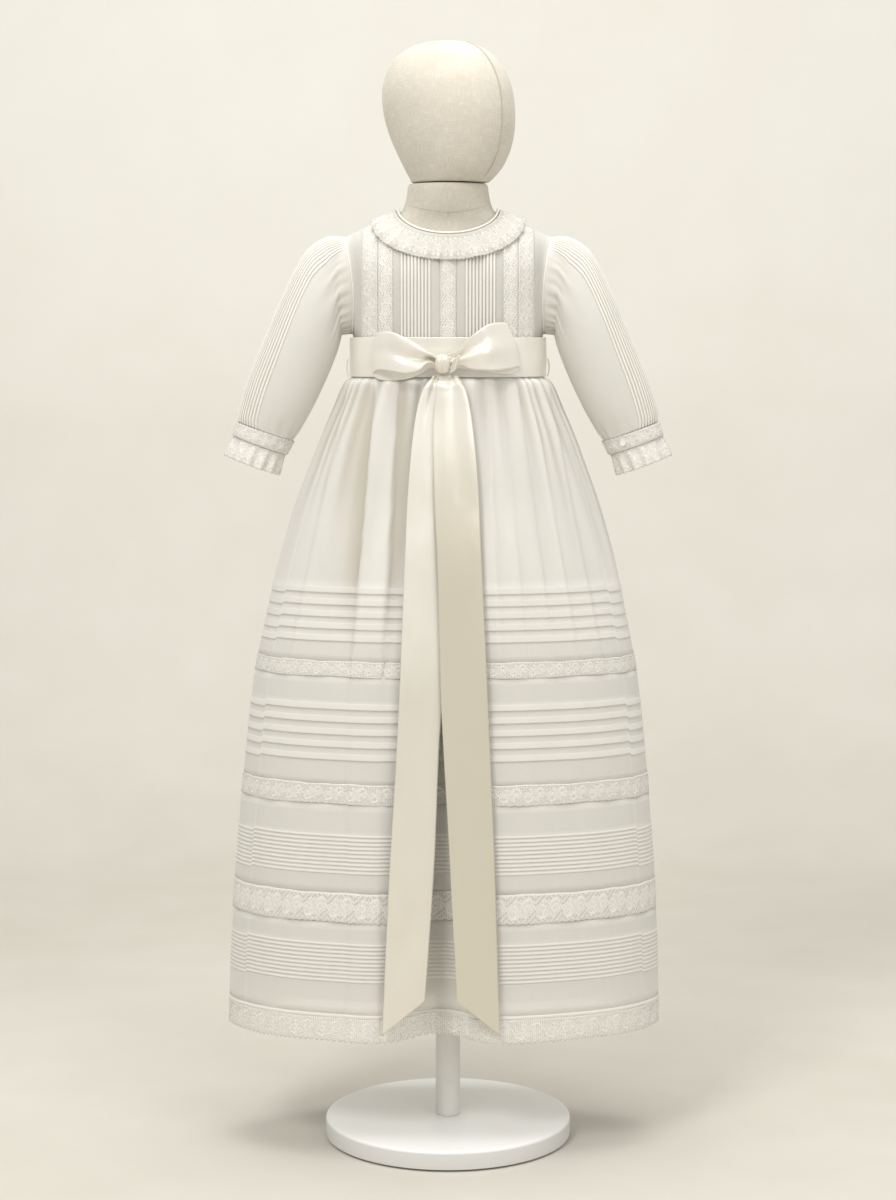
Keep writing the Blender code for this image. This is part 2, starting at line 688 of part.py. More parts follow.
def sleeve_columns(section):
    """(key, angle, rise share, puff share) round a sleeve, its tucks over the top and front."""
    half = (Vector((section.top_x, section.top_z)) - Vector((section.low_x, section.low_z))).length / 2
    mean = 0.48 * (half + section.half_depth)
    columns = []
    for k in range(SLEEVE_TUCKS):
        columns.append(((k - 1.0) * SLEEVE_TUCK_PITCH / mean, 0.0, 0.0))
        columns.append(((k - 0.4) * SLEEVE_TUCK_PITCH / mean, 1.0, 0.0))
    last = (SLEEVE_TUCKS - 1.0) * SLEEVE_TUCK_PITCH / mean
    first = -SLEEVE_TUCK_PITCH / mean
    for k in range(SLEEVE_REST):
        share = k / SLEEVE_REST
        columns.append((last + (first + TAU - last) * share, 0.0, float(k % 2)))
    return [(k / len(columns) * TAU, angle, rise, puff) for k, (angle, rise, puff) in enumerate(columns)]


def sleeve_row(section, side):
    row = []
    for key, angle, rise, puff in sleeve_columns(section):
        out = SLEEVE_TUCK_RISE * rise - section.puff * puff
        row.append((key, section_point(section, side, angle, rise=out)))
    return row


def armhole_row(side, columns, inset=0.0):
    """The sleeve's root: the armhole's own curve, moved out from the bodice."""
    middle = (arm_top() + ARM_BOTTOM) / 2
    half = (arm_top() - ARM_BOTTOM) / 2
    row = []
    for key, angle, _, _ in columns:
        z = middle + (half - inset) * math.cos(angle)
        y = (ARM_DEPTH - inset) * math.sin(angle)
        edge_x, _ = arm_edge(middle + half * math.cos(angle))
        row.append((key, Vector((side * (edge_x + ARMHOLE_GAP), -y, z))))
    return row


def lining_columns(section):
    """The fewer columns of the sleeve's plain inner face."""
    columns = sleeve_columns(section)
    band = 2 * SLEEVE_TUCKS
    return [*columns[:band:4], *columns[band:]]


def inner_sleeve_row(section, side):
    inset = section.puff + VOILE
    return [(key, section_point(section, side, angle, inset=inset)) for key, angle, _, _ in lining_columns(section)]


def build_sleeve(word, side):
    root = armhole_row(side, sleeve_columns(SLEEVE[0]))
    inner_root = armhole_row(side, lining_columns(SLEEVE[0]), VOILE)
    outer = [root, *(sleeve_row(section, side) for section in SLEEVE)]
    inner = [inner_root, *(inner_sleeve_row(section, side) for section in SLEEVE)]
    wall(f"sleeve_{word}", outer, inner, "voile")


def build_cuff(word, side, lap_side):
    """The cuff band, raised where it laps, its button and its lace frill."""
    count = 16
    angles = [TAU * k / count for k in range(count)]
    lap = lap_side * CUFF_LAP

    def lapped(angle):
        away = (angle - lap) * lap_side % TAU
        return CUFF_LAP_RISE if away > CUFF_LAP_FROM else 0.0

    outer = []
    inner = []
    for section in (CUFF_TOP, CUFF_BOTTOM):
        outer.append([(a, section_point(section, side, a, rise=lapped(a))) for a in angles])
        inner.append([(a, section_point(section, side, a, inset=VOILE)) for a in angles])
    wall(f"cuff_{word}", outer, inner, "voile")
    count = 3 * CUFF_LACE_WAVES
    frill = [TAU * k / count for k in range(count)]
    outer = []
    inner = []
    for section in (CUFF_LACE_TOP, CUFF_LACE_BOTTOM):
        for rows, inset in ((outer, 0.0), (inner, LACE)):
            row = []
            for a in frill:
                wave = section.puff * math.cos(CUFF_LACE_WAVES * a)
                row.append((a, section_point(section, side, a, inset=inset, rise=wave)))
            rows.append(row)
    wall(f"cuff_lace_{word}", outer, inner, "lace")
    seat_angle = lap + lap_side * math.radians(10)
    high = section_point(CUFF_TOP, side, seat_angle)
    low = section_point(CUFF_BOTTOM, side, seat_angle)
    middle = (high + low) / 2
    centre_x = side * (CUFF_TOP.top_x + CUFF_TOP.low_x + CUFF_BOTTOM.top_x + CUFF_BOTTOM.low_x) / 4
    centre_z = (CUFF_TOP.top_z + CUFF_TOP.low_z + CUFF_BOTTOM.top_z + CUFF_BOTTOM.low_z) / 4
    normal = (middle - Vector((centre_x, 0, centre_z))).normalized()
    button(f"cuff_button_{word}", middle + normal * CUFF_BUTTON_SEAT, normal, CUFF_BUTTON_RADIUS)


def build_sash():
    count = 40
    angles = even_angles(count)
    outer = []
    inner = []
    for z, swell in ((SASH_TOP, 0.0), (WAIST_SEAM, SASH_SWELL), (SASH_BOTTOM, 0.0)):
        outer.append([(a, sash_point(a, z, swell)) for a in angles])
    for z in (SASH_TOP, SASH_BOTTOM):
        inner.append([(a, sash_point(a, z, -SASH_CLOTH)) for a in angles])
    wall("sash", outer, inner, "satin")
    for word, side in (("left", LEFT), ("right", RIGHT)):
        centre = Vector((side * SASH_HALF_WIDTH, 0, BELT_LOOP_Z))
        build_belt_loop(word, centre, side)


def sash_point(angle, z, swell=0.0):
    point, normal = oval(angle, SASH_HALF_WIDTH, SASH_HALF_DEPTH, WAIST_POWER)
    point += normal * swell
    return Vector((point.x, point.y, z))


def build_belt_loop(word, centre, side):
    """A thread chain at the side seam that holds the sash."""
    rings = []
    for k in range(5):
        share = k / 4 * 2 - 1
        out = BELT_LOOP_OUT + BELT_LOOP_BOW * (1 - share * share)
        ring = []
        for j in range(5):
            a = TAU * j / 5
            x = side * (out + BELT_LOOP_RADIUS * math.cos(a))
            ring.append(centre + Vector((x, BELT_LOOP_RADIUS * math.sin(a), share * BELT_LOOP_HALF)))
        rings.append(ring)
    loft(f"belt_loop_{word}", rings, "thread")


def sash_front(x):
    """A face just in front of the sash at x."""
    across = min(1.0, abs(x) / (SASH_HALF_WIDTH + 0.5)) ** WAIST_POWER
    return -(SASH_HALF_DEPTH + 0.5) * (1 - across) ** (1 / WAIST_POWER)


def build_bow_loop(word):
    """A ribbon loop: a band that leaves the knot, turns at its tip and comes back behind."""
    size = BOW_LOOPS[word]
    half_count = 7
    shares = [k / half_count for k in range(half_count + 1)]
    path = []
    for share in shares:
        path.append((share, 1.0))
    for share in reversed(shares[1:-1]):
        path.append((share, -1.0))
    path.append((0.0, -1.0))
    outer = []
    inner = []
    for level in (1.0, 0.35, -0.35, -1.0):
        for rows, inset in ((outer, 0.0), (inner, SATIN)):
            row = []
            for k, (share, face) in enumerate(path):
                x = size.root_x + (size.tip_x - size.root_x) * share
                middle = size.root_z + (size.tip_z - size.root_z) * share
                half = size.root_half + (size.tip_half - size.root_half) * share ** 0.7
                x += size.lean * level * share
                belly = math.sin(math.pi * min(1.0, 0.12 + 0.88 * share) ** 1.5)
                thick = LOOP_THIN + LOOP_BELLY * belly - inset
                if share == 1.0:
                    x -= math.copysign(inset, size.tip_x)
                    thick = 0.0
                if share == 0.0:
                    x += math.copysign(inset, size.tip_x)
                y = sash_front(x) - LOOP_CLEAR - LOOP_SWING * belly - face * thick
                row.append((k / len(path) * TAU, Vector((x, y, middle + half * level))))
            rows.append(row)
    wall(f"bow_loop_{word}", outer, inner, "satin")


def build_knot():
    """Two wraps of ribbon round the roots of the loops."""
    rings = []
    count = 14
    for k in range(1, 8):
        polar = math.pi * k / 8
        ring = []
        for j in range(count):
            a = TAU * j / count
            waist = 1 - KNOT_WAIST * math.exp(-((math.cos(a) * math.sin(polar)) / 0.15) ** 2)
            ring.append(KNOT_CENTRE + Vector((
                KNOT_HALF.x * signed_power(math.cos(a), 0.7) * math.sin(polar) ** 0.6,
                KNOT_HALF.y * signed_power(math.sin(a), 0.7) * math.sin(polar) ** 0.6 * waist,
                -KNOT_HALF.z * signed_power(math.cos(polar), 0.8),
            )))
        rings.append(ring)
    loft("bow_knot", rings, "satin")


def tail_y(x, z):
    """Where a tail's back face hangs over the front of the skirt."""
    half_width = column_at(SKIRT, "half_width", z)
    half_depth = column_at(SKIRT, "half_depth", z)
    power = column_at(SKIRT, "power", z)
    across = min(1.0, abs(x) / half_width) ** power
    return -half_depth * (1 - across) ** (1 / power) - TAIL_CLEAR


def build_tail(word, table, tip_on_left):
    """A flat ribbon over the skirt's front, cut slantwise at its end."""
    columns = 4
    rows = []
    levels = [row.z for row in table]
    for z in levels:
        left = column_at(table, "left", z)
        right = column_at(table, "right", z)
        rows.append([(c / columns, left + (right - left) * c / columns, z) for c in range(columns + 1)])
    last = rows[-1]
    slant = []
    for share, x, z in last:
        reach = (1 - share) if tip_on_left else share
        spread = -TAIL_SPREAD if tip_on_left else TAIL_SPREAD
        slant.append((share, x + spread * reach, z - 0.4 - (levels[-1] - TAIL_TIP_Z) * reach))
    rows.append(slant)
    outer = []
    inner = []
    for row in rows:
        outer.append([(share, Vector((x, tail_y(x, z) - SATIN, z))) for share, x, z in row])
        inner.append([(share, Vector((x, tail_y(x, z), z))) for share, x, z in row])
    wall(f"sash_tail_{word}", outer, inner, "satin", closed=False)


def build_bow():
    build_knot()
    for word in BOW_LOOPS:
        build_bow_loop(word)
    build_tail("left", LEFT_TAIL, True)
    build_tail("right", RIGHT_TAIL, False)


def form_ring(ring, count, power):
    points = []
    for angle in even_angles(count):
        point, _ = oval(angle, ring.half_width, ring.half_depth, power)
        points.append(Vector((point.x, point.y + ring.shift, ring.z)))
    return points


def form_shoulder_ring(z, count):
    """A level ring of the bodice's own shape, moved in, so that the shoulders carry the gown."""
    reach = NECK_HALF + (NECK_SIDE_Z - 1.1 * FORM_INSET - z) / SHOULDER_SLOPE
    half_width = min(reach, column_at(CHEST, "half_width", z) - FORM_INSET - 2.0)
    points = []
    for angle in even_angles(count):
        x = half_width * signed_power(math.sin(angle), 0.8)
        y = FORM_THIN * chest_y(x, z, FORM_INSET) if abs(math.cos(angle)) > 1e-9 else 0.0
        points.append(Vector((x, -math.copysign(y, math.cos(angle)), z)))
    return points


def build_form():
    count = 24
    rings = [form_ring(ring, count, FORM_POWER) for ring in FORM_LOWER]
    rings += [form_shoulder_ring(z, count) for z in FORM_SHOULDER_LEVELS]
    rings += [form_ring(ring, count, NECK_POWER) for ring in FORM_NECK]
    loft("form_torso", rings, "linen")
    facing = Vector((math.sin(HEAD_TURN), -math.cos(HEAD_TURN), 0))
    across = Vector((math.cos(HEAD_TURN), math.sin(HEAD_TURN), 0))
    count = 20
    rings = []
    for ring in HEAD:
        points = []
        for k in range(count):
            a = TAU * k / count
            along = ring.half_width * math.cos(a) + ring.shift
            points.append(facing * along + across * (ring.half_depth * math.sin(a)) + Vector((0, 0, ring.z)))
        rings.append(points)
    loft("form_head", rings, "linen")


def build_stand():
    disc("base_pad", ((PAD_RADIUS, 0.0), (PAD_RADIUS, PAD_HEIGHT)), 40, "pad_rubber")
    low = PAD_HEIGHT + SEAM_GAP
    bevel = BASE_EDGE * 0.3
    profile = (
        (BASE_RADIUS - 0.8, low),
        (BASE_RADIUS, low + 0.8),
        (BASE_RADIUS, BASE_TOP - BASE_EDGE),
        (BASE_RADIUS - bevel, BASE_TOP - bevel),
        (BASE_RADIUS - BASE_EDGE, BASE_TOP),
    )
    disc("base_plate", profile, 44, "white_paint")
    foot = BASE_TOP + SEAM_GAP
    disc("pole", ((POLE_RADIUS, foot), (POLE_RADIUS, FORM_BOTTOM - SEAM_GAP)), 20, "white_paint")


def main():
    clear_scene()
    build_stand()
    build_form()
    build_bodice()
    build_collar()
    for word, side, lap_side in (("left", LEFT, -1), ("right", RIGHT, 1)):
        build_sleeve(word, side)
        build_cuff(word, side, lap_side)
    build_skirt()
    build_slip()
    build_sash()
    build_bow()


main()
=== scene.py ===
"""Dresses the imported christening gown: its cloth, lace and satin, its linen form and its stand.

Sizes held by the classes are millimetres and become metres when a mesh is made. +Z is up, the
front faces -Y, and sides are named as the viewer sees them. Angles round the gown are 0 at the
front and rise to the viewer's right.
"""

import logging
import math
from dataclasses import dataclass
from enum import Enum

import bmesh
import bpy
import numpy as np
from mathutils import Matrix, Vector

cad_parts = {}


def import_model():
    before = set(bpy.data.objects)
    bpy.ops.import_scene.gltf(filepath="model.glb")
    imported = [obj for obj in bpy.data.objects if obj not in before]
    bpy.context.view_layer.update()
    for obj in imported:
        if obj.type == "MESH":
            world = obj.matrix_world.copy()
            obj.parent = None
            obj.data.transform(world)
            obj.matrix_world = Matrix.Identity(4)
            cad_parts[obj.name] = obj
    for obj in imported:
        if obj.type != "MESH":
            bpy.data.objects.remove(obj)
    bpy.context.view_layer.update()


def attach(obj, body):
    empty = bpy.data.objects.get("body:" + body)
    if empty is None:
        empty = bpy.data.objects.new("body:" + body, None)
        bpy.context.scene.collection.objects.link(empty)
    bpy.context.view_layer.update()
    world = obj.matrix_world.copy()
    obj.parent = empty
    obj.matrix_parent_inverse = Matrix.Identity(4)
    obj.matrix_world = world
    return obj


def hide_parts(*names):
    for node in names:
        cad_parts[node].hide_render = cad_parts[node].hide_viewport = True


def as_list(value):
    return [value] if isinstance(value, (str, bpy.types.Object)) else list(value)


MM = 0.001
TAU = 2 * math.pi
SEAM = 0.15
NOISE_LOW = 0.3
NOISE_HIGH = 0.7
NUMBER = "NodeSocketFloat"
Array = np.ndarray
Colour = tuple[float, float, float, float]
Group = bpy.types.NodeTree
Material = bpy.types.Material
Object = bpy.types.Object
Socket = bpy.types.NodeSocket
log = logging.getLogger("gown")


class Side(Enum):
    """The two sides of the gown, as the viewer sees them."""

    LEFT = -1
    RIGHT = 1

    @property
    def word(self) -> str:
        """The side's name in a piece or node name."""
        return self.name.lower()


class Held(Enum):
    """How a sheet of cloth is held."""

    HUNG = "hung"
    GATHERED = "gathered"
    STRETCHED = "stretched"
    FOLDED = "folded"


class Slot(Enum):
    """The finish slots of the frame that the pieces fill."""

    VOILE = "voile"
    LINING = "lining"
    LACE = "lace"
    SATIN = "satin"
    LINEN = "linen"
    THREAD = "thread"
    PEARL = "pearl"
    PAINT = "white_paint"
    RUBBER = "pad_rubber"


def read(rows: tuple, column: int, at: Array) -> Array:
    """Read a column of a table along a smooth curve through its rows.

    Args:
        rows: Rows that start with their height or place, in any order.
        column: Which column.
        at: The heights or places where it is read.

    Returns:
        The values there.
    """
    table = np.array(rows, float)
    order = np.argsort(table[:, 0])
    x = table[order, 0]
    y = table[order, column]
    slopes = np.empty_like(y)
    slopes[1:-1] = (y[2:] - y[:-2]) / (x[2:] - x[:-2])
    slopes[0] = (y[1] - y[0]) / (x[1] - x[0])
    slopes[-1] = (y[-1] - y[-2]) / (x[-1] - x[-2])
    at = np.clip(at, x[0], x[-1])
    i = np.clip(np.searchsorted(x, at, side="right") - 1, 0, len(x) - 2)
    span = x[i + 1] - x[i]
    t = (at - x[i]) / span
    bend = span * (t * (1 - t) ** 2 * slopes[i] - t * t * (1 - t) * slopes[i + 1])
    return y[i] + (y[i + 1] - y[i]) * t * t * (3 - 2 * t) + bend


def signed_power(value: Array, power: float) -> Array:
    """The power of a value's size, with the value's sign."""
    return np.sign(value) * np.abs(value) ** power


def step(low: float, high: float, value: Array) -> Array:
    """A smooth step from 0 at low to 1 at high."""
    t = np.clip((np.asarray(value) - low) / (high - low), 0, 1)
    return t * t * (3 - 2 * t)


def mound(value: Array, middle: float, width: float) -> Array:
    """A smooth mound that is 1 at the middle and falls off over the width."""
    return np.exp(-(((value - middle) / width) ** 2))


def place(x: Array, y: Array, z: Array) -> Array:
    """Points from their three coordinates, which are broadcast together."""
    return np.stack(np.broadcast_arrays(x, y, z), axis=-1).astype(float)


def ring(count: int) -> Array:
    """Angles all round as one row, from the centre back."""
    return np.linspace(-math.pi, math.pi, count, endpoint=False)[None, :]


def oval(angle: Array, half_width: Array, half_depth: Array, power: Array) -> tuple[Array, ...]:
    """A squared oval at angles round it: x and y, and the x and y of the way straight out."""
    x = half_width * signed_power(np.sin(angle), 2 / power)
    y = -half_depth * signed_power(np.cos(angle), 2 / power)
    across = signed_power(x / half_width, power - 1) / half_width
    facing = signed_power(y / half_depth, power - 1) / half_depth
    size = np.hypot(across, facing)
    return x, y, across / size, facing / size


def metric_uv(points: Array, closed: bool) -> Array:
    """UVs in metres that follow a grid of points round and down.

    Args:
        points: Rows of points from the top down.
        closed: Whether each row goes all round.

    Returns:
        Rows of UVs, one column more than the points if closed.
    """
    middle = points[len(points) // 2]
    if closed:
        middle = np.vstack([middle, middle[:1]])
    u = np.concatenate([[0], np.cumsum(np.linalg.norm(np.diff(middle, axis=0), axis=1))])
    drops = np.linalg.norm(np.diff(points, axis=0), axis=2).mean(axis=1)
    v = np.concatenate([[0], np.cumsum(drops)])
    return np.stack(np.meshgrid(u, v), axis=-1) * MM


def motif_uv(rows: int, columns: int, closed: bool, motifs: float) -> Array:
    """UVs that count motifs along a strip of lace and go from 0 to 1 across it."""
    u = np.linspace(0, motifs, columns + int(closed))
    v = np.linspace(0, 1, rows)
    return np.stack(np.meshgrid(u, v), axis=-1)


def choose(piece: Object | None = None) -> None:
    """Select one object alone and make it active, or select nothing before one is added."""
    for other in list(bpy.context.selected_objects):
        other.select_set(False)
    if piece is not None:
        piece.select_set(True)
        bpy.context.view_layer.objects.active = piece


def apply_modifiers(piece: Object) -> None:
    """Apply every modifier of a piece."""
    choose(piece)
    for modifier in list(piece.modifiers):
        bpy.ops.object.modifier_apply(modifier=modifier.name)


@dataclass
class Cloth:
    """A grid of points that becomes a thin cloth shell.

    Layers and shade are kept on the mesh: 0 for single cloth, 1 for folded layers, below 0 for painted
    shade in fold recesses, puckers and the gaps between tucks; on satin, the share of painted shade.
    """

    name: str
    points: Array
    closed: bool = False
    uv: Array | None = None
    layers: Array | float = 0.0
    thickness: float = 0.5
    flip: bool = False
    capped: bool = False

    def make(self) -> Object:
        """Build the mesh, give it its thickness, and link its object.

        Returns:
            The new object, at the origin.
        """
        rows, columns = self.points.shape[:2]
        steps = columns if self.closed else columns - 1
        r, c = np.meshgrid(np.arange(rows - 1), np.arange(steps), indexing="ij")
        after = (c + 1) % columns
        corners = [r * columns + c, (r + 1) * columns + c, (r + 1) * columns + after, r * columns + after]
        uv = metric_uv(self.points, self.closed) if self.uv is None else self.uv
        places = [uv[:-1, :-1], uv[1:, :-1], uv[1:, 1:], uv[:-1, 1:]]
        if self.flip:
            corners.reverse()
            places.reverse()
        faces = np.stack(corners, axis=-1).reshape(-1, 4).tolist()
        if self.capped:
            faces.append(list(range(columns))[:: -1 if self.flip else 1])
            last = list(range((rows - 1) * columns, rows * columns))
            faces.append(last[:: 1 if self.flip else -1])
        mesh = bpy.data.meshes.new(self.name)
        mesh.from_pydata((self.points.reshape(-1, 3) * MM).tolist(), [], faces)
        values = np.zeros((len(mesh.loops), 2), np.float32)
        flat = np.stack(places, axis=2).reshape(-1, 2)
        values[: len(flat)] = flat
        mesh.uv_layers.new(name="UVMap").data.foreach_set("uv", values.ravel())
        layers = np.broadcast_to(self.layers, (rows, columns)).astype(np.float32).ravel()
        # This attribute carries painted shade as well as the cloth's layers.
        mesh.attributes.new("layers", "FLOAT", "POINT").data.foreach_set("value", layers)
        mesh.shade_smooth()
        made = bpy.data.objects.new(self.name, mesh)
        bpy.context.scene.collection.objects.link(made)
        if self.thickness > 0:
            shell = made.modifiers.new("shell", "SOLIDIFY")
            shell.thickness = self.thickness * MM
            shell.offset = -1
            apply_modifiers(made)
        return made


def thread(name: str, path: Array, radius: float, closed: bool = False, sides: int = 2) -> Object:
    """A round thread or piping along a path.

    Args:
        name: The piece's name.
        path: Points in millimetres.
        radius: In millimetres.
        closed: Whether the path joins its own start.
        sides: The bevel resolution.

    Returns:
        The new mesh object.
    """
    curve = bpy.data.curves.new(name, "CURVE")
    curve.dimensions = "3D"
    curve.bevel_depth = radius * MM
    curve.bevel_resolution = sides
    curve.use_fill_caps = not closed
    spline = curve.splines.new("POLY")
    spline.points.add(len(path) - 1)
    spline.points.foreach_set("co", np.hstack([path * MM, np.ones((len(path), 1))]).ravel())
    spline.use_cyclic_u = closed
    made = bpy.data.objects.new(name, curve)
    bpy.context.scene.collection.objects.link(made)
    choose(made)
    bpy.ops.object.convert(target="MESH")
    made = bpy.context.view_layer.objects.active
    made.data.shade_smooth()
    return made


@dataclass(frozen=True)
class Goods:
    """A material and the slot it fills."""

    slot: Slot
    material: Material

    def dress(self, piece: Object, *nodes: str) -> Object:
        """Give a piece this finish, its body and the nodes it stands for."""
        piece.data.materials.clear()
        piece.data.materials.append(self.material)
        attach(piece, "root")
        if nodes:
            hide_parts(*nodes)
        log.info("%s: %d faces", piece.name, len(piece.data.polygons))
        return piece


class Bench:
    """Places and joins the nodes of one material or group."""

    def __init__(self, tree: Group) -> None:
        """Work on this tree."""
        self.tree = tree

    def node(self, kind: str, **settings: object) -> bpy.types.Node:
        """Place a node and set its properties."""
        made = self.tree.nodes.new(kind)
        for name, value in settings.items():
            setattr(made, name, value)
        return made

    def feed(self, socket: Socket, value: object) -> None:
        """Link a socket's value, or set it if it is a plain one."""
        if isinstance(value, Socket):
            self.tree.links.new(value, socket)
        else:
            socket.default_value = value

    def calc(self, operation: str, *values: object) -> Socket:
        """A Math node on the given values."""
        made = self.node("ShaderNodeMath", operation=operation)
        for socket, value in zip(made.inputs, values):
            self.feed(socket, value)
        return made.outputs[0]

    def span(self, value: Socket, low: float, high: float, start: float = 0.0, end: float = 1.0) -> Socket:
        """A clamped map of a value from low..high to start..end."""
        made = self.node("ShaderNodeMapRange")
        for socket, given in zip(made.inputs, (value, low, high, start, end)):
            self.feed(socket, given)
        return made.outputs[0]

    def vary(self, noise: Socket, start: float = 0.0, end: float = 1.0) -> Socket:
        """A noise's usual range spread over start..end."""
        return self.span(noise, NOISE_LOW, NOISE_HIGH, start, end)

    def tint(self, share: Socket, first: object, second: object) -> Socket:
        """A colour between two, by share."""
        made = self.node("ShaderNodeMix", data_type="RGBA")
        colours = [socket for socket in made.inputs if socket.type == "RGBA"]
        self.feed(made.inputs[0], share)
        self.feed(colours[0], first)
        self.feed(colours[1], second)
        return next(socket for socket in made.outputs if socket.type == "RGBA")

    def noise(self, vector: Socket, scale: float, detail: float = 2.0) -> Socket:
        """A noise texture's value."""
        made = self.node("ShaderNodeTexNoise")
        self.feed(made.inputs["Vector"], vector)
        made.inputs["Scale"].default_value = scale
        made.inputs["Detail"].default_value = detail
        return made.outputs[0]

    def stretch(self, vector: Socket, scale: tuple[float, float, float]) -> Socket:
        """A vector scaled along its own axes."""
        made = self.node("ShaderNodeMapping")
        self.feed(made.inputs["Vector"], vector)
        made.inputs["Scale"].default_value = scale
        return made.outputs[0]

    def split(self, vector: Socket) -> list[Socket]:
        """A vector's three coordinates."""
        made = self.node("ShaderNodeSeparateXYZ")
        self.feed(made.inputs[0], vector)
        return list(made.outputs)

    def bump(
        self, height: Socket, distance: float, strength: float = 1.0, below: Socket | None = None
    ) -> Socket:
        """A Bump node's normal. Distance is in metres."""
        made = self.node("ShaderNodeBump")
        made.inputs["Strength"].default_value = strength
        made.inputs["Distance"].default_value = distance
        self.feed(made.inputs["Height"], height)
        if below is not None:
            self.feed(made.inputs["Normal"], below)
        return made.outputs[0]

    def group(self, tree: Group, **values: object) -> bpy.types.Node:
        """Place a shader group and feed its inputs by name."""
        made = self.node("ShaderNodeGroup")
        made.node_tree = tree
        for name, value in values.items():
            self.feed(made.inputs[name], value)
        return made


class FinishBench(Bench):
    """The bench of a new material, with its shader and the coordinates its textures read."""

    def __init__(self, name: str) -> None:
        """Start the material."""
        self.material = bpy.data.materials.new(name)
        self.material.use_nodes = True
        super().__init__(self.material.node_tree)
        spots = self.node("ShaderNodeTexCoord")
        self.spot = spots.outputs["Object"]
        self.uv = spots.outputs["UV"]

    def layers(self) -> Socket:
        """The cloth's layers and painted shade, which the mesh keeps."""
        return self.node("ShaderNodeAttribute", attribute_name="layers").outputs["Fac"]

    def finish(self, looks: dict[str, object]) -> Material:
        """Feed the shader's inputs by name.

        Args:
            looks: What each input is fed with.

        Returns:
            The material.
        """
        shader = self.tree.nodes["Principled BSDF"]
        for name, value in looks.items():
            self.feed(shader.inputs[name], value)
        return self.material


def open_group(name: str, inputs: dict[str, str], outputs: dict[str, str]) -> tuple[Bench, dict, dict]:
    """Make a shader group with named sockets.

    Args:
        name: The group's name.
        inputs: Socket type by input name.
        outputs: Socket type by output name.

    Returns:
        Its bench, its input sockets by name, and the sockets its outputs are fed by.
    """
    tree = bpy.data.node_groups.new(name, "ShaderNodeTree")
    for way, sockets in (("INPUT", inputs), ("OUTPUT", outputs)):
        for label, kind in sockets.items():
            tree.interface.new_socket(label, in_out=way, socket_type=kind)
    bench = Bench(tree)
    start = bench.node("NodeGroupInput")
    end = bench.node("NodeGroupOutput")
    given = {label: start.outputs[label] for label in inputs}
    wanted = {label: end.inputs[label] for label in outputs}
    return bench, given, wanted


def weave_group() -> Group:
    """Over and under threads of a plain weave, with uneven yarn, as a height."""
    sockets = {"Vector": "NodeSocketVector", "Threads": NUMBER, "Slub": NUMBER}
    bench, given, wanted = open_group("plain weave", sockets, {"Height": NUMBER, "Yarn": NUMBER})
    u, v, _ = bench.split(given["Vector"])
    turns = bench.calc("MULTIPLY", given["Threads"], TAU)
    across = bench.calc("SINE", bench.calc("MULTIPLY", u, turns))
    along = bench.calc("SINE", bench.calc("MULTIPLY", v, turns))
    yarns = []
    for scale in ((110.0, 2400.0, 1.0), (2400.0, 110.0, 1.0)):
        yarns.append(bench.noise(bench.stretch(given["Vector"], scale), 1.0, 1.0))
    yarn = bench.calc("MAXIMUM", *yarns)
    plain = bench.calc("MULTIPLY_ADD", bench.calc("MULTIPLY", across, along), 0.5, 0.5)
    bench.feed(wanted["Height"], bench.calc("MULTIPLY_ADD", yarn, given["Slub"], plain))
    bench.feed(wanted["Yarn"], yarn)
    return bench.tree


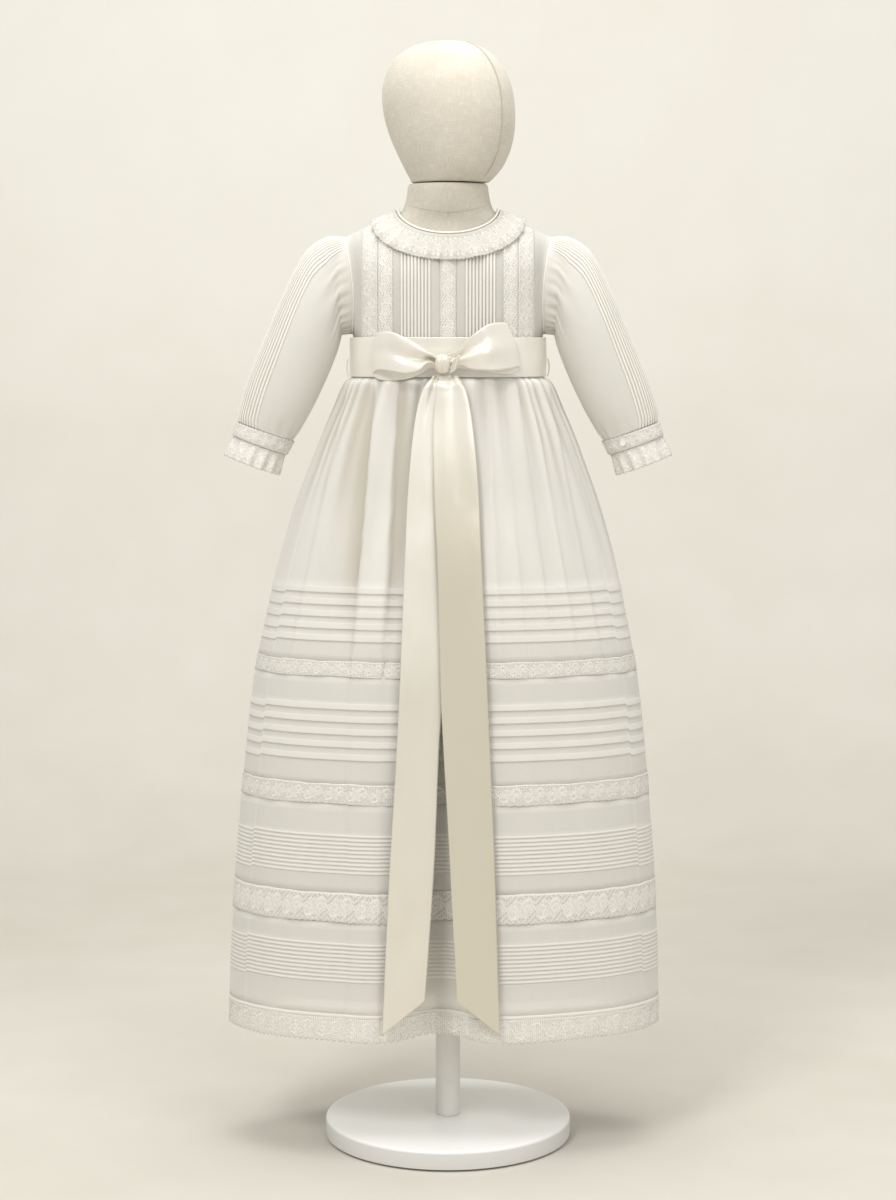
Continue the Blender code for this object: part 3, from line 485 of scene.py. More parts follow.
def lace_group() -> Group:
    """Machine lace on UVs that count motifs along it and go from 0 to 1 across it.

    Width and Deep are a motif's size in millimetres. Thread is 1 on thread, and Height rises on
    the flowers' outlines.
    """
    bead_pitch = 1.7
    net_scale = 0.72
    sockets = {"Vector": "NodeSocketVector", "Width": NUMBER, "Deep": NUMBER, "Zigzag": NUMBER}
    bench, given, wanted = open_group(
        "machine lace", sockets, {"Thread": NUMBER, "Height": NUMBER, "Motif": NUMBER}
    )
    calc = bench.calc
    u, v, _ = bench.split(given["Vector"])
    across = calc("MULTIPLY", calc("SUBTRACT", v, 0.5), given["Deep"])
    half = calc("MULTIPLY", given["Deep"], 0.5)

    def flower(shift: float, size: float, petals: float, wave: float) -> tuple[Socket, Socket]:
        """The fill and the outline of one flower per motif."""
        along = calc("SUBTRACT", calc("FRACT", calc("ADD", u, shift)), 0.5)
        along = calc("MULTIPLY", along, given["Width"])
        radius = calc("SQRT", calc("ADD", calc("MULTIPLY", along, along), calc("MULTIPLY", across, across)))
        radius = calc("DIVIDE", radius, half)
        turn = calc("ARCTAN2", across, along)
        edge = calc("MULTIPLY_ADD", calc("COSINE", calc("MULTIPLY", turn, petals)), wave, size)
        gap = calc("SUBTRACT", edge, radius)
        fill = bench.span(gap, -0.01, 0.05)
        rim = bench.span(calc("ABSOLUTE", gap), 0.03, 0.09, 1.0, 0.0)
        eye = bench.span(radius, 0.10, 0.16)
        return calc("MULTIPLY", fill, eye), rim

    big_fill, big_rim = flower(shift=0.0, size=0.50, petals=6.0, wave=0.14)
    leaf_fill, leaf_rim = flower(shift=0.5, size=0.34, petals=2.0, wave=0.30)
    vine_line = calc("MULTIPLY", calc("SINE", calc("MULTIPLY", u, TAU)), 0.62)
    offset = calc("SUBTRACT", calc("DIVIDE", across, half), vine_line)
    vine = bench.span(calc("ABSOLUTE", offset), 0.05, 0.12, 1.0, 0.0)
    border = bench.span(calc("ABSOLUTE", calc("SUBTRACT", v, 0.5)), 0.42, 0.445)
    beads = calc("SINE", calc("MULTIPLY", calc("MULTIPLY", u, given["Width"]), TAU / bead_pitch))
    border = calc("MULTIPLY", border, bench.span(beads, -0.9, -0.2, 0.45, 1.0))
    join = bench.node("ShaderNodeCombineXYZ")
    bench.feed(join.inputs[0], calc("MULTIPLY", u, given["Width"]))
    bench.feed(join.inputs[1], across)
    cells = bench.node("ShaderNodeTexVoronoi", feature="DISTANCE_TO_EDGE", voronoi_dimensions="2D")
    bench.feed(cells.inputs["Vector"], join.outputs[0])
    cells.inputs["Scale"].default_value = net_scale
    cells.inputs["Randomness"].default_value = 0.35
    net = bench.span(cells.outputs["Distance"], 0.08, 0.17, 1.0, 0.0)
    along = calc("ABSOLUTE", calc("SUBTRACT", calc("FRACT", u), 0.5))
    lozenge = calc("ADD", calc("MULTIPLY", along, 2.0), calc("ABSOLUTE", calc("DIVIDE", across, half)))
    rings = calc("ABSOLUTE", calc("SUBTRACT", calc("FRACT", calc("MULTIPLY", lozenge, 2.6)), 0.5))
    zigzag = calc("MULTIPLY", bench.span(rings, 0.16, 0.28, 1.0, 0.0), given["Zigzag"])
    outline = calc("MAXIMUM", calc("MAXIMUM", big_rim, leaf_rim), calc("MAXIMUM", vine, zigzag))
    fill = calc("MULTIPLY", calc("MAXIMUM", big_fill, leaf_fill), 0.55)
    motif = calc("MAXIMUM", outline, fill)
    solid = calc("MAXIMUM", motif, border)
    bench.feed(wanted["Thread"], calc("MAXIMUM", solid, net))
    bench.feed(wanted["Motif"], motif)
    raised = calc("MULTIPLY_ADD", outline, 0.9, calc("MULTIPLY", calc("MAXIMUM", fill, border), 0.5))
    bench.feed(wanted["Height"], calc("MULTIPLY_ADD", net, 0.25, raised))
    return bench.tree


@dataclass(frozen=True)
class Voile:
    """Sheer batiste: one layer lets the lining through, a tuck's three layers hardly do."""

    name: str = "voile"
    single: Colour = (0.84, 0.82, 0.772, 1)
    tucked: Colour = (0.832, 0.814, 0.763, 1)
    # Painted shade: the colour the cloth takes where the mesh's attribute falls to -1, in fold recesses and
    # tuck gaps.
    folded: Colour = (0.67, 0.625, 0.53, 1)
    clear: float = 0.64
    dense: float = 0.90
    threads: float = 900.0

    def make(self, weave: Group) -> Material:
        """Build the material, which reads how many layers of cloth there are from the mesh, and paints
        shade where that falls below 0.
        """
        bench = FinishBench(self.name)
        layers = bench.layers()
        cloth = bench.group(weave, Vector=bench.uv, Threads=self.threads, Slub=0.6)
        cloud = bench.noise(bench.stretch(bench.spot, (1.0, 1.0, 0.35)), 28.0, 3.0)
        streak = bench.span(cloth.outputs["Yarn"], 0.5, 0.8, -0.04, 0.1)
        share = bench.calc("ADD", layers, bench.calc("ADD", bench.vary(cloud, -0.08, 0.08), streak))
        # Painted shade: below 0 the single cloth's colour turns to the folded colour.
        single = bench.tint(bench.span(layers, -1.0, 0.0), self.folded, self.single)
        fine = bench.bump(cloth.outputs["Height"], 0.00006, 0.5)
        return bench.finish({
            "Base Color": bench.tint(bench.span(share, 0.0, 1.0), single, self.tucked),
            "Alpha": bench.span(share, 0.0, 1.0, self.clear, self.dense),
            "Roughness": bench.vary(cloud, 0.78, 0.92),
            "Normal": bench.bump(cloud, 0.0012, 0.5, fine),
            "Specular IOR Level": 0.25,
            "Sheen Weight": 0.25,
            "Sheen Roughness": 0.5,
        })


@dataclass(frozen=True)
class Lace:
    """Cotton lace with flowers on a fine net, for one width of strip."""

    name: str
    width: float
    deep: float
    zigzag: float = 0.3
    hole: float = 0.45
    ground: Colour = (0.84, 0.818, 0.765, 1)
    flower: Colour = (0.89, 0.87, 0.815, 1)

    def make(self, lace: Group) -> Material:
        """Build the material on UVs that count motifs."""
        bench = FinishBench(self.name)
        made = bench.group(lace, Vector=bench.uv, Width=self.width, Deep=self.deep, Zigzag=self.zigzag)
        cloud = bench.noise(bench.spot, 260.0, 2.0)
        share = bench.calc("MULTIPLY_ADD", cloud, 0.3, made.outputs["Motif"])
        return bench.finish({
            "Base Color": bench.tint(bench.span(share, 0.1, 1.1), self.ground, self.flower),
            "Alpha": bench.span(made.outputs["Thread"], 0.0, 1.0, self.hole, 0.96),
            "Roughness": bench.vary(cloud, 0.8, 0.95),
            "Normal": bench.bump(made.outputs["Height"], 0.0005, 0.7),
            "Specular IOR Level": 0.2,
            "Sheen Weight": 0.15,
        })


@dataclass(frozen=True)
class Satin:
    """Ivory ribbon satin, soft and shiny, with fine ribs across it."""

    name: str = "satin"
    light: Colour = (0.90, 0.87, 0.80, 1)
    deep: Colour = (0.83, 0.798, 0.718, 1)
    # Painted shade: the colour the satin takes where the mesh's attribute rises to 1.
    turned: Colour = (0.665, 0.62, 0.508, 1)

    def make(self, weave: Group) -> Material:
        """Build the material on UVs in metres, with painted shade where the mesh's attribute says so."""
        bench = FinishBench(self.name)
        ribs = bench.noise(bench.stretch(bench.uv, (40.0, 2600.0, 1.0)), 1.0, 2.0)
        soft = bench.noise(bench.stretch(bench.spot, (1.0, 1.0, 0.45)), 34.0, 2.0)
        cloth = bench.group(weave, Vector=bench.uv, Threads=1600.0, Slub=0.4)
        threads = bench.calc("ADD", ribs, bench.calc("MULTIPLY", cloth.outputs["Height"], 0.2))
        colour = bench.tint(bench.vary(soft), self.deep, self.light)
        return bench.finish({
            # Painted shade mixed in by the mesh's attribute.
            "Base Color": bench.tint(bench.layers(), colour, self.turned),
            "Roughness": bench.vary(ribs, 0.29, 0.33),
            "Normal": bench.bump(soft, 0.0022, 0.45, bench.bump(threads, 0.00003, 0.1)),
            "Metallic": 0.26,
            "Specular IOR Level": 0.6,
            "Anisotropic": 0.4,
            "Sheen Weight": 0.12,
            "Sheen Roughness": 0.35,
        })


@dataclass(frozen=True)
class Linen:
    """Natural linen over the form, with slubs and a visible weave."""

    name: str = "linen"
    pale: Colour = (0.77, 0.735, 0.66, 1)
    dark: Colour = (0.60, 0.555, 0.465, 1)

    def make(self, weave: Group) -> Material:
        """Build the material on UVs in metres."""
        bench = FinishBench(self.name)
        cloth = bench.group(weave, Vector=bench.uv, Threads=620.0, Slub=1.6)
        yarn = cloth.outputs["Yarn"]
        cloud = bench.noise(bench.spot, 22.0, 3.0)
        tone = bench.calc("ADD", bench.span(yarn, 0.45, 0.8), bench.vary(cloud, -0.2, 0.2))
        return bench.finish({
            "Base Color": bench.tint(bench.span(tone, 0.0, 1.0), self.dark, self.pale),
            "Roughness": bench.span(yarn, 0.4, 0.8, 0.95, 0.8),
            "Normal": bench.bump(cloth.outputs["Height"], 0.00016, 0.7),
            "Specular IOR Level": 0.2,
            "Sheen Weight": 0.2,
        })


@dataclass(frozen=True)
class Smooth:
    """A hard, plain finish: thread, paint, pearl or rubber. Below a given height it has the rim's colour,
    painted shade on the side.
    """

    name: str
    colour: Colour
    shade: Colour
    rough: tuple[float, float]
    grain: float
    relief: float
    coat: float = 0.0
    specular: float = 0.5
    rim: Colour | None = None
    rim_top: float = 0.0
    rim_blend: float = 0.003

    def make(self) -> Material:
        """Build the material on Object coordinates."""
        bench = FinishBench(self.name)
        cloud = bench.noise(bench.spot, 9.0, 4.0)
        peel = bench.noise(bench.spot, self.grain, 2.0)
        colour = bench.tint(bench.vary(cloud), self.shade, self.colour)
        # Painted shade: below the given height the colour turns to the darker rim colour.
        if self.rim:
            height = bench.span(bench.split(bench.spot)[2], self.rim_top - self.rim_blend, self.rim_top)
            colour = bench.tint(height, self.rim, colour)
        return bench.finish({
            "Base Color": colour,
            "Roughness": bench.vary(cloud, *self.rough),
            "Normal": bench.bump(peel, self.relief, 0.4),
            "Specular IOR Level": self.specular,
            "Coat Weight": self.coat,
            "Coat Roughness": 0.15,
        })


class Finishes:
    """Every finish of the gown, made once."""

    def __init__(self) -> None:
        """Make the shared groups and the materials."""
        self.weave = weave_group()
        self.lace = lace_group()
        self.make_voiles()
        self.make_laces()
        self.make_plain()

    def make_voiles(self) -> None:
        """The gown's sheer cloth, whose tucks are brighter on the bodice and sleeves, and the lining."""
        bright = (0.91, 0.895, 0.85, 1)
        bodice = Voile("bodice_voile", tucked=bright, clear=0.58)
        sleeve = Voile("sleeve_voile", (0.835, 0.815, 0.765, 1), bright, clear=0.72)
        lining = Voile("lining", (0.93, 0.92, 0.885, 1), (0.95, 0.94, 0.905, 1), clear=1.0, dense=1.0)
        self.voile = Goods(Slot.VOILE, Voile().make(self.weave))
        self.bodice_voile = Goods(Slot.VOILE, bodice.make(self.weave))
        self.sleeve_voile = Goods(Slot.VOILE, sleeve.make(self.weave))
        self.lining = Goods(Slot.LINING, lining.make(self.weave))

    def make_laces(self) -> None:
        """The laces, by their width and motif."""
        laces = (
            Lace("bodice_lace", 15.5, 16.0, 0.9, 0.55),
            Lace("bodice_wide_lace", 20.0, 17.0, 0.4, 0.55),
            # The collar lace is toned darker than the other laces: painted shade over the collar.
            Lace("collar_lace", 12.0, 26.0, 0.3, 0.6, (0.76, 0.738, 0.68, 1), (0.83, 0.81, 0.755, 1)),
            Lace("cuff_lace", 15.0, 22.0, 0.3, 0.5),
            Lace("hem_lace", 22.0, 25.0, 0.3, 0.25),
            Lace("skirt_lace_narrow", 17.0, 15.0, 0.5),
            Lace("skirt_lace_middle", 21.0, 20.0, 0.3),
            Lace("skirt_lace_wide", 25.0, 30.0, 0.6),
        )
        made = [Goods(Slot.LACE, lace.make(self.lace)) for lace in laces]
        self.bodice_lace, self.wide_lace, self.collar_lace, self.cuff_lace, self.hem_lace = made[:5]
        self.row_laces = made[5:]

    def make_plain(self) -> None:
        """The satin, the linen and the hard finishes."""
        enamel = {"rough": (0.38, 0.46), "grain": 900.0, "relief": 0.00005, "coat": 0.15}
        cord = {"grain": 2500.0, "relief": 0.0002}
        thread_white = Smooth(
            "thread", (0.92, 0.90, 0.86, 1), (0.86, 0.84, 0.79, 1), (0.75, 0.9), **cord, specular=0.25
        )
        seam = Smooth(
            "linen_thread", (0.60, 0.55, 0.46, 1), (0.50, 0.46, 0.37, 1), (0.85, 0.95), **cord, specular=0.2
        )
        paint = Smooth("white_paint", (0.80, 0.78, 0.735, 1), (0.78, 0.76, 0.715, 1), **enamel)
        # The plate's copy of the white paint: painted light makes its top brighter than the pole's paint,
        # and painted shade darkens its side below 21.2 mm.
        plate = Smooth(
            "plate_paint", (0.97, 0.965, 0.95, 1), (0.955, 0.95, 0.93, 1), **enamel,
            rim=(0.73, 0.72, 0.70, 1), rim_top=0.0212,
        )
        pearl = Smooth(
            "pearl", (0.93, 0.91, 0.87, 1), (0.86, 0.85, 0.84, 1), (0.12, 0.22), 300.0, 0.00003, 1.0
        )
        # Near-black rubber pad; the dark line it makes under the plate's rim also stands in for the shade
        # there.
        rubber = Smooth(
            "pad_rubber", (0.035, 0.035, 0.035, 1), (0.02, 0.02, 0.02, 1), (0.75, 0.9), 1500.0, 0.0003
        )
        self.satin = Goods(Slot.SATIN, Satin().make(self.weave))
        self.linen = Goods(Slot.LINEN, Linen().make(self.weave))
        self.thread = Goods(Slot.THREAD, thread_white.make())
        self.seam = Goods(Slot.LINEN, seam.make())
        self.paint = Goods(Slot.PAINT, paint.make())
        self.plate_paint = Goods(Slot.PAINT, plate.make())
        self.pearl = Goods(Slot.PEARL, pearl.make())
        self.rubber = Goods(Slot.RUBBER, rubber.make())


@dataclass(frozen=True)
class Row:
    """A line round a tier: its height, how far it stands out, and its share of tucked cloth."""

    z: float
    rise: float = 0.0
    layers: float = 0.0
    tuck: float = 0.0


@dataclass(frozen=True)
class Crease:
    """A long fold in the skirt's front with one sharp side."""

    x_high: float
    x_low: float
    open_to: int
    depth: float
    width: float


@dataclass
class SkirtShape:
    """The skirt's outer face: an oval that widens to the hem, gathered at the waist.

    A row is a height, the half width and depth, the shift to the right, the oval's power, the
    depth of the gathers, the depth of the broad folds, and the hollow down the front.
    """

    rows: tuple = (
        (822, 98.0, 57.0, 0.0, 2.5, 0.0, 0.0, 0.0),
        (804.2, 98.7, 57.7, 0.0, 2.5, 0.4, 0.0, 0.0),
        (799, 106.5, 66.0, 0.0, 2.4, 3.0, 0.3, 0.0),
        (789, 112.5, 68.5, 0.0, 2.35, 3.6, 0.8, 0.0),
        (774, 119.0, 71.0, -0.2, 2.3, 3.4, 1.6, 0.0),
        (742, 133.0, 76.0, -0.5, 2.2, 2.4, 3.2, 0.0),
        (712, 144.5, 79.8, -0.8, 2.1, 1.4, 4.0, 0.0),
        (678, 157.0, 83.0, -1.0, 2.0, 0.6, 4.2, 0.0),
        (640, 168.5, 87.0, -1.2, 2.0, 0.0, 3.4, 0.0),
        (604, 178.0, 89.5, -1.3, 2.0, 0.0, 1.2, 0.3),
        (565, 186.0, 91.0, -1.5, 2.0, 0.0, 0.0, 2.0),
        (496, 200.0, 94.0, -2.0, 2.0, 0.0, 0.0, 6.0),
        (396, 211.5, 98.0, -2.5, 2.0, 0.0, 0.0, 13.0),
        (300, 220.0, 101.0, -3.2, 2.0, 0.0, 0.0, 21.0),
        (216, 225.0, 103.0, -3.8, 2.0, 0.0, 0.0, 28.0),
        (160, 227.0, 104.5, -4.2, 2.0, 0.0, 0.0, 36.0),
        (120, 227.5, 105.0, -4.5, 2.0, 0.0, 0.0, 43.0),
    )
    gathers: int = 36
    folds: int = 18
    gather_depth: float = 1.15
    fold_depth: float = 0.58
    valley_x: float = -7.0
    valley_width: float = 36.0
    deepest: float = 6.0
    crease_top: float = 800.0
    crease_length: float = 235.0
    creases: tuple[Crease, ...] = (
        Crease(-75.0, -93.0, -1, 7.5, 26.0),
        Crease(-50.0, -61.0, 1, 9.0, 12.0),
        Crease(-104.0, -152.0, -1, 2.0, 9.0),
        Crease(27.0, 34.0, 1, 1.2, 5.0),
        Crease(41.0, 54.0, 1, 1.6, 6.0),
        Crease(56.0, 78.0, 1, 1.4, 7.0),
        Crease(71.5, 104.0, 1, 2.0, 8.0),
        Crease(85.6, 128.0, 1, 2.2, 9.0),
        Crease(104.0, 152.0, 1, 2.4, 9.0),
    )

    def crease_depth(self, x: Array, z: Array) -> Array:
        """How far the front's long creases draw the cloth in."""
        total = np.zeros(np.broadcast(x, z).shape)
        strength = step(806, 780, z) * (1 - 0.86 * step(585, 470, z))
        for crease in self.creases:
            share = (self.crease_top - z) / self.crease_length
            line = crease.x_high + (crease.x_low - crease.x_high) * np.clip(share, 0, 1.35)
            away = (x - line) * crease.open_to
            sharp = step(-1.6, 1.2, away)
            fade = np.exp(-np.clip(away, 0, None) / crease.width)
            total += crease.depth * sharp * fade
        return total * strength

    def draw_in(self, angle: Array, z: Array) -> Array:
        """How far the gathers, folds and creases draw the cloth in."""
        angle, z = np.broadcast_arrays(angle, z)
        x = read(self.rows, 1, z) * signed_power(np.sin(angle), 2 / read(self.rows, 4, z))
        drawn = angle + 0.045 * np.sin(7 * angle + 0.6) + 0.028 * np.sin(13 * angle + 2.1)
        broad = angle + 0.08 * np.sin(4 * angle + 1.9) + 0.03 * np.sin(9 * angle)
        uneven = 0.72 + 0.28 * np.cos(5 * angle + 1.1)
        pleats = ((1 - np.cos(self.gathers * drawn)) / 2) ** 1.7
        waves = ((1 - np.cos(self.folds * broad)) / 2) ** 1.2
        drop = read(self.rows, 5, z) * pleats * self.gather_depth
        drop = drop + read(self.rows, 6, z) * uneven * waves * self.fold_depth
        front = (np.cos(angle) > 0) * self.crease_depth(x, z)
        return self.deepest * np.tanh((drop + front) / self.deepest)

    def points(
        self, angle: Array, z: Array, inset: Array = 0.0, rise: Array = 0.0, folded: bool = True
    ) -> Array:
        """Points of the outer face at angles round it and heights z.

        Args:
            angle: Angles round the gown.
            z: Heights.
            inset: How far in the points are moved.
            rise: How far out they are moved.
            folded: Whether the gathers and folds are there.

        Returns:
            The points.
        """
        angle, z = np.broadcast_arrays(angle, z)
        half_width, half_depth, shift, power = (read(self.rows, k, z) for k in range(1, 5))
        x, y, out_x, out_y = oval(angle, half_width, half_depth, power)
        depth = np.asarray(inset - rise, float)
        if folded:
            ripple = 0.35 * step(640, 560, z) * np.sin(11 * angle + 0.8 + z * 0.004)
            depth = depth + self.draw_in(angle, z) + ripple
        x = x - out_x * depth
        y = y - out_y * depth
        hollow = read(self.rows, 7, z) * mound(x, self.valley_x, self.valley_width)
        y = y + np.where(np.cos(angle) > 0, hollow, 0.0)
        return place(x + shift, y, z)


@dataclass
class Skirt:
    """The tiers, their lace rows and the hem.

    A tuck's profile is rows of the way down, the way out and the share of tucked cloth. A lace
    row is its top, bottom, motifs all round, scallops' depth and scallops to each motif.
    """

    shape: SkirtShape
    upper_columns: int = 360
    columns: int = 340
    side_seam: float = math.radians(66)
    seam_drop: float = 2.2
    wide_tucks: int = 5
    wide_profile: tuple = (
        (0.0, 0.0, 0.0), (0.2, 0.12, 0.7), (1.2, 0.24, 0.7), (3.6, 0.38, 0.7), (5.6, 0.6, 0.75),
        (6.2, 0.58, 0.8), (6.35, 0.4, 0.5), (6.4, 0.05, 0.0), (9.0, 0.0, 0.0),
    )
    pin_tucks: int = 10
    pin_pitch: float = 4.2
    pin_rise: float = 0.48
    pin_profile: tuple = (
        (0.0, 0.0, 0.0), (0.12, 0.45, 0.7), (0.34, 0.95, 0.85),
        (0.52, 1.0, 0.85), (0.6, 0.7, 0.6), (0.64, 0.05, 0.0),
    )
    lace_rows: tuple = ((516.0, 501.0, 58, 0.7, 3), (391.0, 371.0, 50, 0.9, 3), (279.0, 249.0, 44, 1.3, 4))
    lace_lap: float = 0.7
    hem_row: tuple = (150.2, 125.0, 40, 2.2, 5)
    waist: tuple = (821.7, 815, 808, 804.2, 802.5, 801, 799, 796.5, 793, 789, 784, 779, 774, 766)
    fold: tuple = ((154.0, 0.1), (153.6, 0.6), (152, 0.7), (150.4, 0.6), (150, 0.1))

    def plain(self, top: float, bottom: float, pitch: float) -> list[Row]:
        """Rows of single cloth, both ends among them."""
        count = max(2, round((top - bottom) / pitch) + 1)
        return [Row(z) for z in np.linspace(top, bottom, count)]

    def wide(self, top: float, pitch: float) -> list[Row]:
        """Rows of tucks that lie down over the cloth, each with a free lower lip."""
        rows = []
        for k in range(self.wide_tucks):
            stitch = top - pitch * k
            rows += [Row(stitch - down, out, full, 1.0) for down, out, full in self.wide_profile]
        return rows

    def pintucks(self, top: float) -> list[Row]:
        """Rows of fine ridges."""
        rows = []
        for k in range(self.pin_tucks):
            stitch = top - self.pin_pitch * k
            for down, out, full in self.pin_profile:
                rows.append(Row(stitch - self.pin_pitch * down, self.pin_rise * out, full, 1.0))
        rows.append(Row(top - self.pin_pitch * self.pin_tucks, tuck=1.0))
        return rows

    def tier(self, name: str, rows: list[Row], columns: int) -> Cloth:
        """A tier of the skirt from its rows.

        Args:
            name: The piece's name.
            rows: Its rows from the top down.
            columns: How many points go round it.

        Returns:
            The tier's cloth.
        """
        angle = ring(columns)
        z, rise, layers, tuck = (
            np.array([getattr(row, field) for row in rows])[:, None]
            for field in ("z", "rise", "layers", "tuck")
        )
        apart = np.abs(np.abs(angle) - self.side_seam)
        behind = step(self.side_seam - 0.006, self.side_seam + 0.006, np.abs(angle))
        seam = mound(apart, 0, 0.012)
        points = self.shape.points(angle, z - self.seam_drop * behind * tuck, rise=rise - 0.25 * seam)
        drawn = self.shape.draw_in(angle, z)
        # Partly real and partly painted light: proud gathers are treated as denser doubled cloth and
        # painted brighter.
        doubled_and_lit = np.exp(-drawn / 1.9) * step(480, 610, z)
        # Painted shade in the recesses where the gathers and creases draw the cloth in deepest.
        painted_shade = step(2.2, 5.3, drawn) * step(470, 640, z)
        full = np.clip(np.maximum(layers, doubled_and_lit) + 0.25 * seam, 0, 1)
        return Cloth(name, points, True, layers=full - painted_shade)

    def edging(
        self, name: str, top: float, bottom: float, motifs: int, scallop: float, per_motif: int
    ) -> Cloth:
        """A ring of lace with a scalloped lower edge.

        Args:
            name: The piece's name.
            top: Height of its upper edge.
            bottom: Height of its lower edge.
            motifs: Motifs all round.
            scallop: Depth of the scallops.
            per_motif: Scallops to each motif.

        Returns:
            The lace.
        """
        columns = motifs * per_motif * 6
        rows = 12
        angle = ring(columns)
        share = np.linspace(0, 1, rows)[:, None]
        wave = np.abs(np.sin(angle * motifs * per_motif / 2))
        low = bottom + scallop * (1 - wave) + 0.5 * np.sin(9 * angle + 1)
        high = top + 0.35 * np.sin(14 * angle + 2) + 0.25 * np.sin(37 * angle)
        z = high + (low - high) * share
        out = 0.45 + 0.25 * np.sin(23 * angle) * share
        points = self.shape.points(angle, z, rise=out)
        return Cloth(name, points, True, motif_uv(rows, columns, True, motifs), thickness=0.4)

    def build(self, finishes: Finishes) -> None:
        """Build and dress every ring of the skirt."""
        (top_1, low_1, *_), (top_2, low_2, *_), (top_3, low_3, *_) = self.lace_rows
        upper = [Row(z) for z in self.waist] + self.plain(757, 600, 9)
        upper += self.wide(592.0, 12.2) + self.plain(530, top_1 + SEAM, 6)
        second = self.plain(low_1 - SEAM, 477.5, 7) + self.wide(474.0, 12.9)
        second = second + self.plain(409, top_2 + SEAM, 6)
        third = self.plain(low_2 - SEAM, 344, 9) + self.pintucks(340.0) + self.plain(294, top_3 + SEAM, 8)
        fourth = self.plain(low_3 - SEAM, 232, 8) + self.pintucks(228.0) + self.plain(182, 154 + SEAM, 7)
        fold = [Row(z, rise, 1.0) for z, rise in self.fold]
        tiers = (
            ("upper_skirt_cloth", upper, "skirt_upper", (0.97, 0.318), 0.26),
            ("second_tier_cloth", second, "skirt_tier_2", (1.02, 0.130), None),
            ("third_tier_cloth", third, "skirt_tier_3", (1.09, 0.112), None),
            ("fourth_tier_cloth", fourth, "skirt_tier_4", (1.11, 0.118), None),
            ("hem_fold_cloth", fold, "hem_band", (1.12, 0.010), 0.005),
        )
        made = []
        for name, rows, node, _, _ in tiers:
            piece = self.tier(name, rows, self.columns if made else self.upper_columns).make()
            made.append(finishes.voile.dress(piece, node))
        trims = []
        for k, ((top, bottom, *pattern), lace) in enumerate(
            zip(self.lace_rows, finishes.row_laces), start=1
        ):
            piece = self.edging(
                f"skirt_insertion_{k}", top + self.lace_lap, bottom - self.lace_lap, *pattern
            ).make()
            trims.append([lace.dress(piece, f"skirt_lace_{k}")])
        hem = self.edging("hem_edging", *self.hem_row).make()
        trims.append([finishes.hem_lace.dress(hem, "hem_lace")])
        for piece, trim, (name, _, _, flat, area) in zip(made, [[], *trims], tiers):
            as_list(trim)


@dataclass
class Slip:
    """The lining skirt, sewn in at the waist inside the gathers."""

    shape: SkirtShape
    fold: float = 181.0
    levels: tuple = ((821.7, 2.5), (804.2, 2.5), (789, 7.4), (604, 7.5), (380, 7.0), (166.0, 7.0))
    heights: tuple = (
        821.7, 813, 804.2, 800, 796, 792, 789, 780, 765, 742, 712, 678, 640, 604, 565, 530, 496, 460,
        428, 396, 364, 332, 300, 272, 244, 216, 195, 181.2, 181, 180.8, 173, 166.0,
    )

    def build(self, finishes: Finishes) -> None:
        """Build and dress the slip, its hem turned up."""
        levels = np.array(self.levels)
        z = np.array(self.heights)[:, None]
        angle = ring(220)
        turned_up = z < self.fold
        sway = 0.25 * np.sin(9 * angle + 0.5) * step(700, 300, z)
        inset = np.interp(-z, -levels[:, 0], levels[:, 1]) - sway - 0.3 * turned_up
        points = self.shape.points(angle, z, inset=inset, folded=False)
        piece = Cloth("slip_lining", points, True, layers=turned_up.astype(float)).make()
        finishes.lining.dress(piece, "slip_skirt")


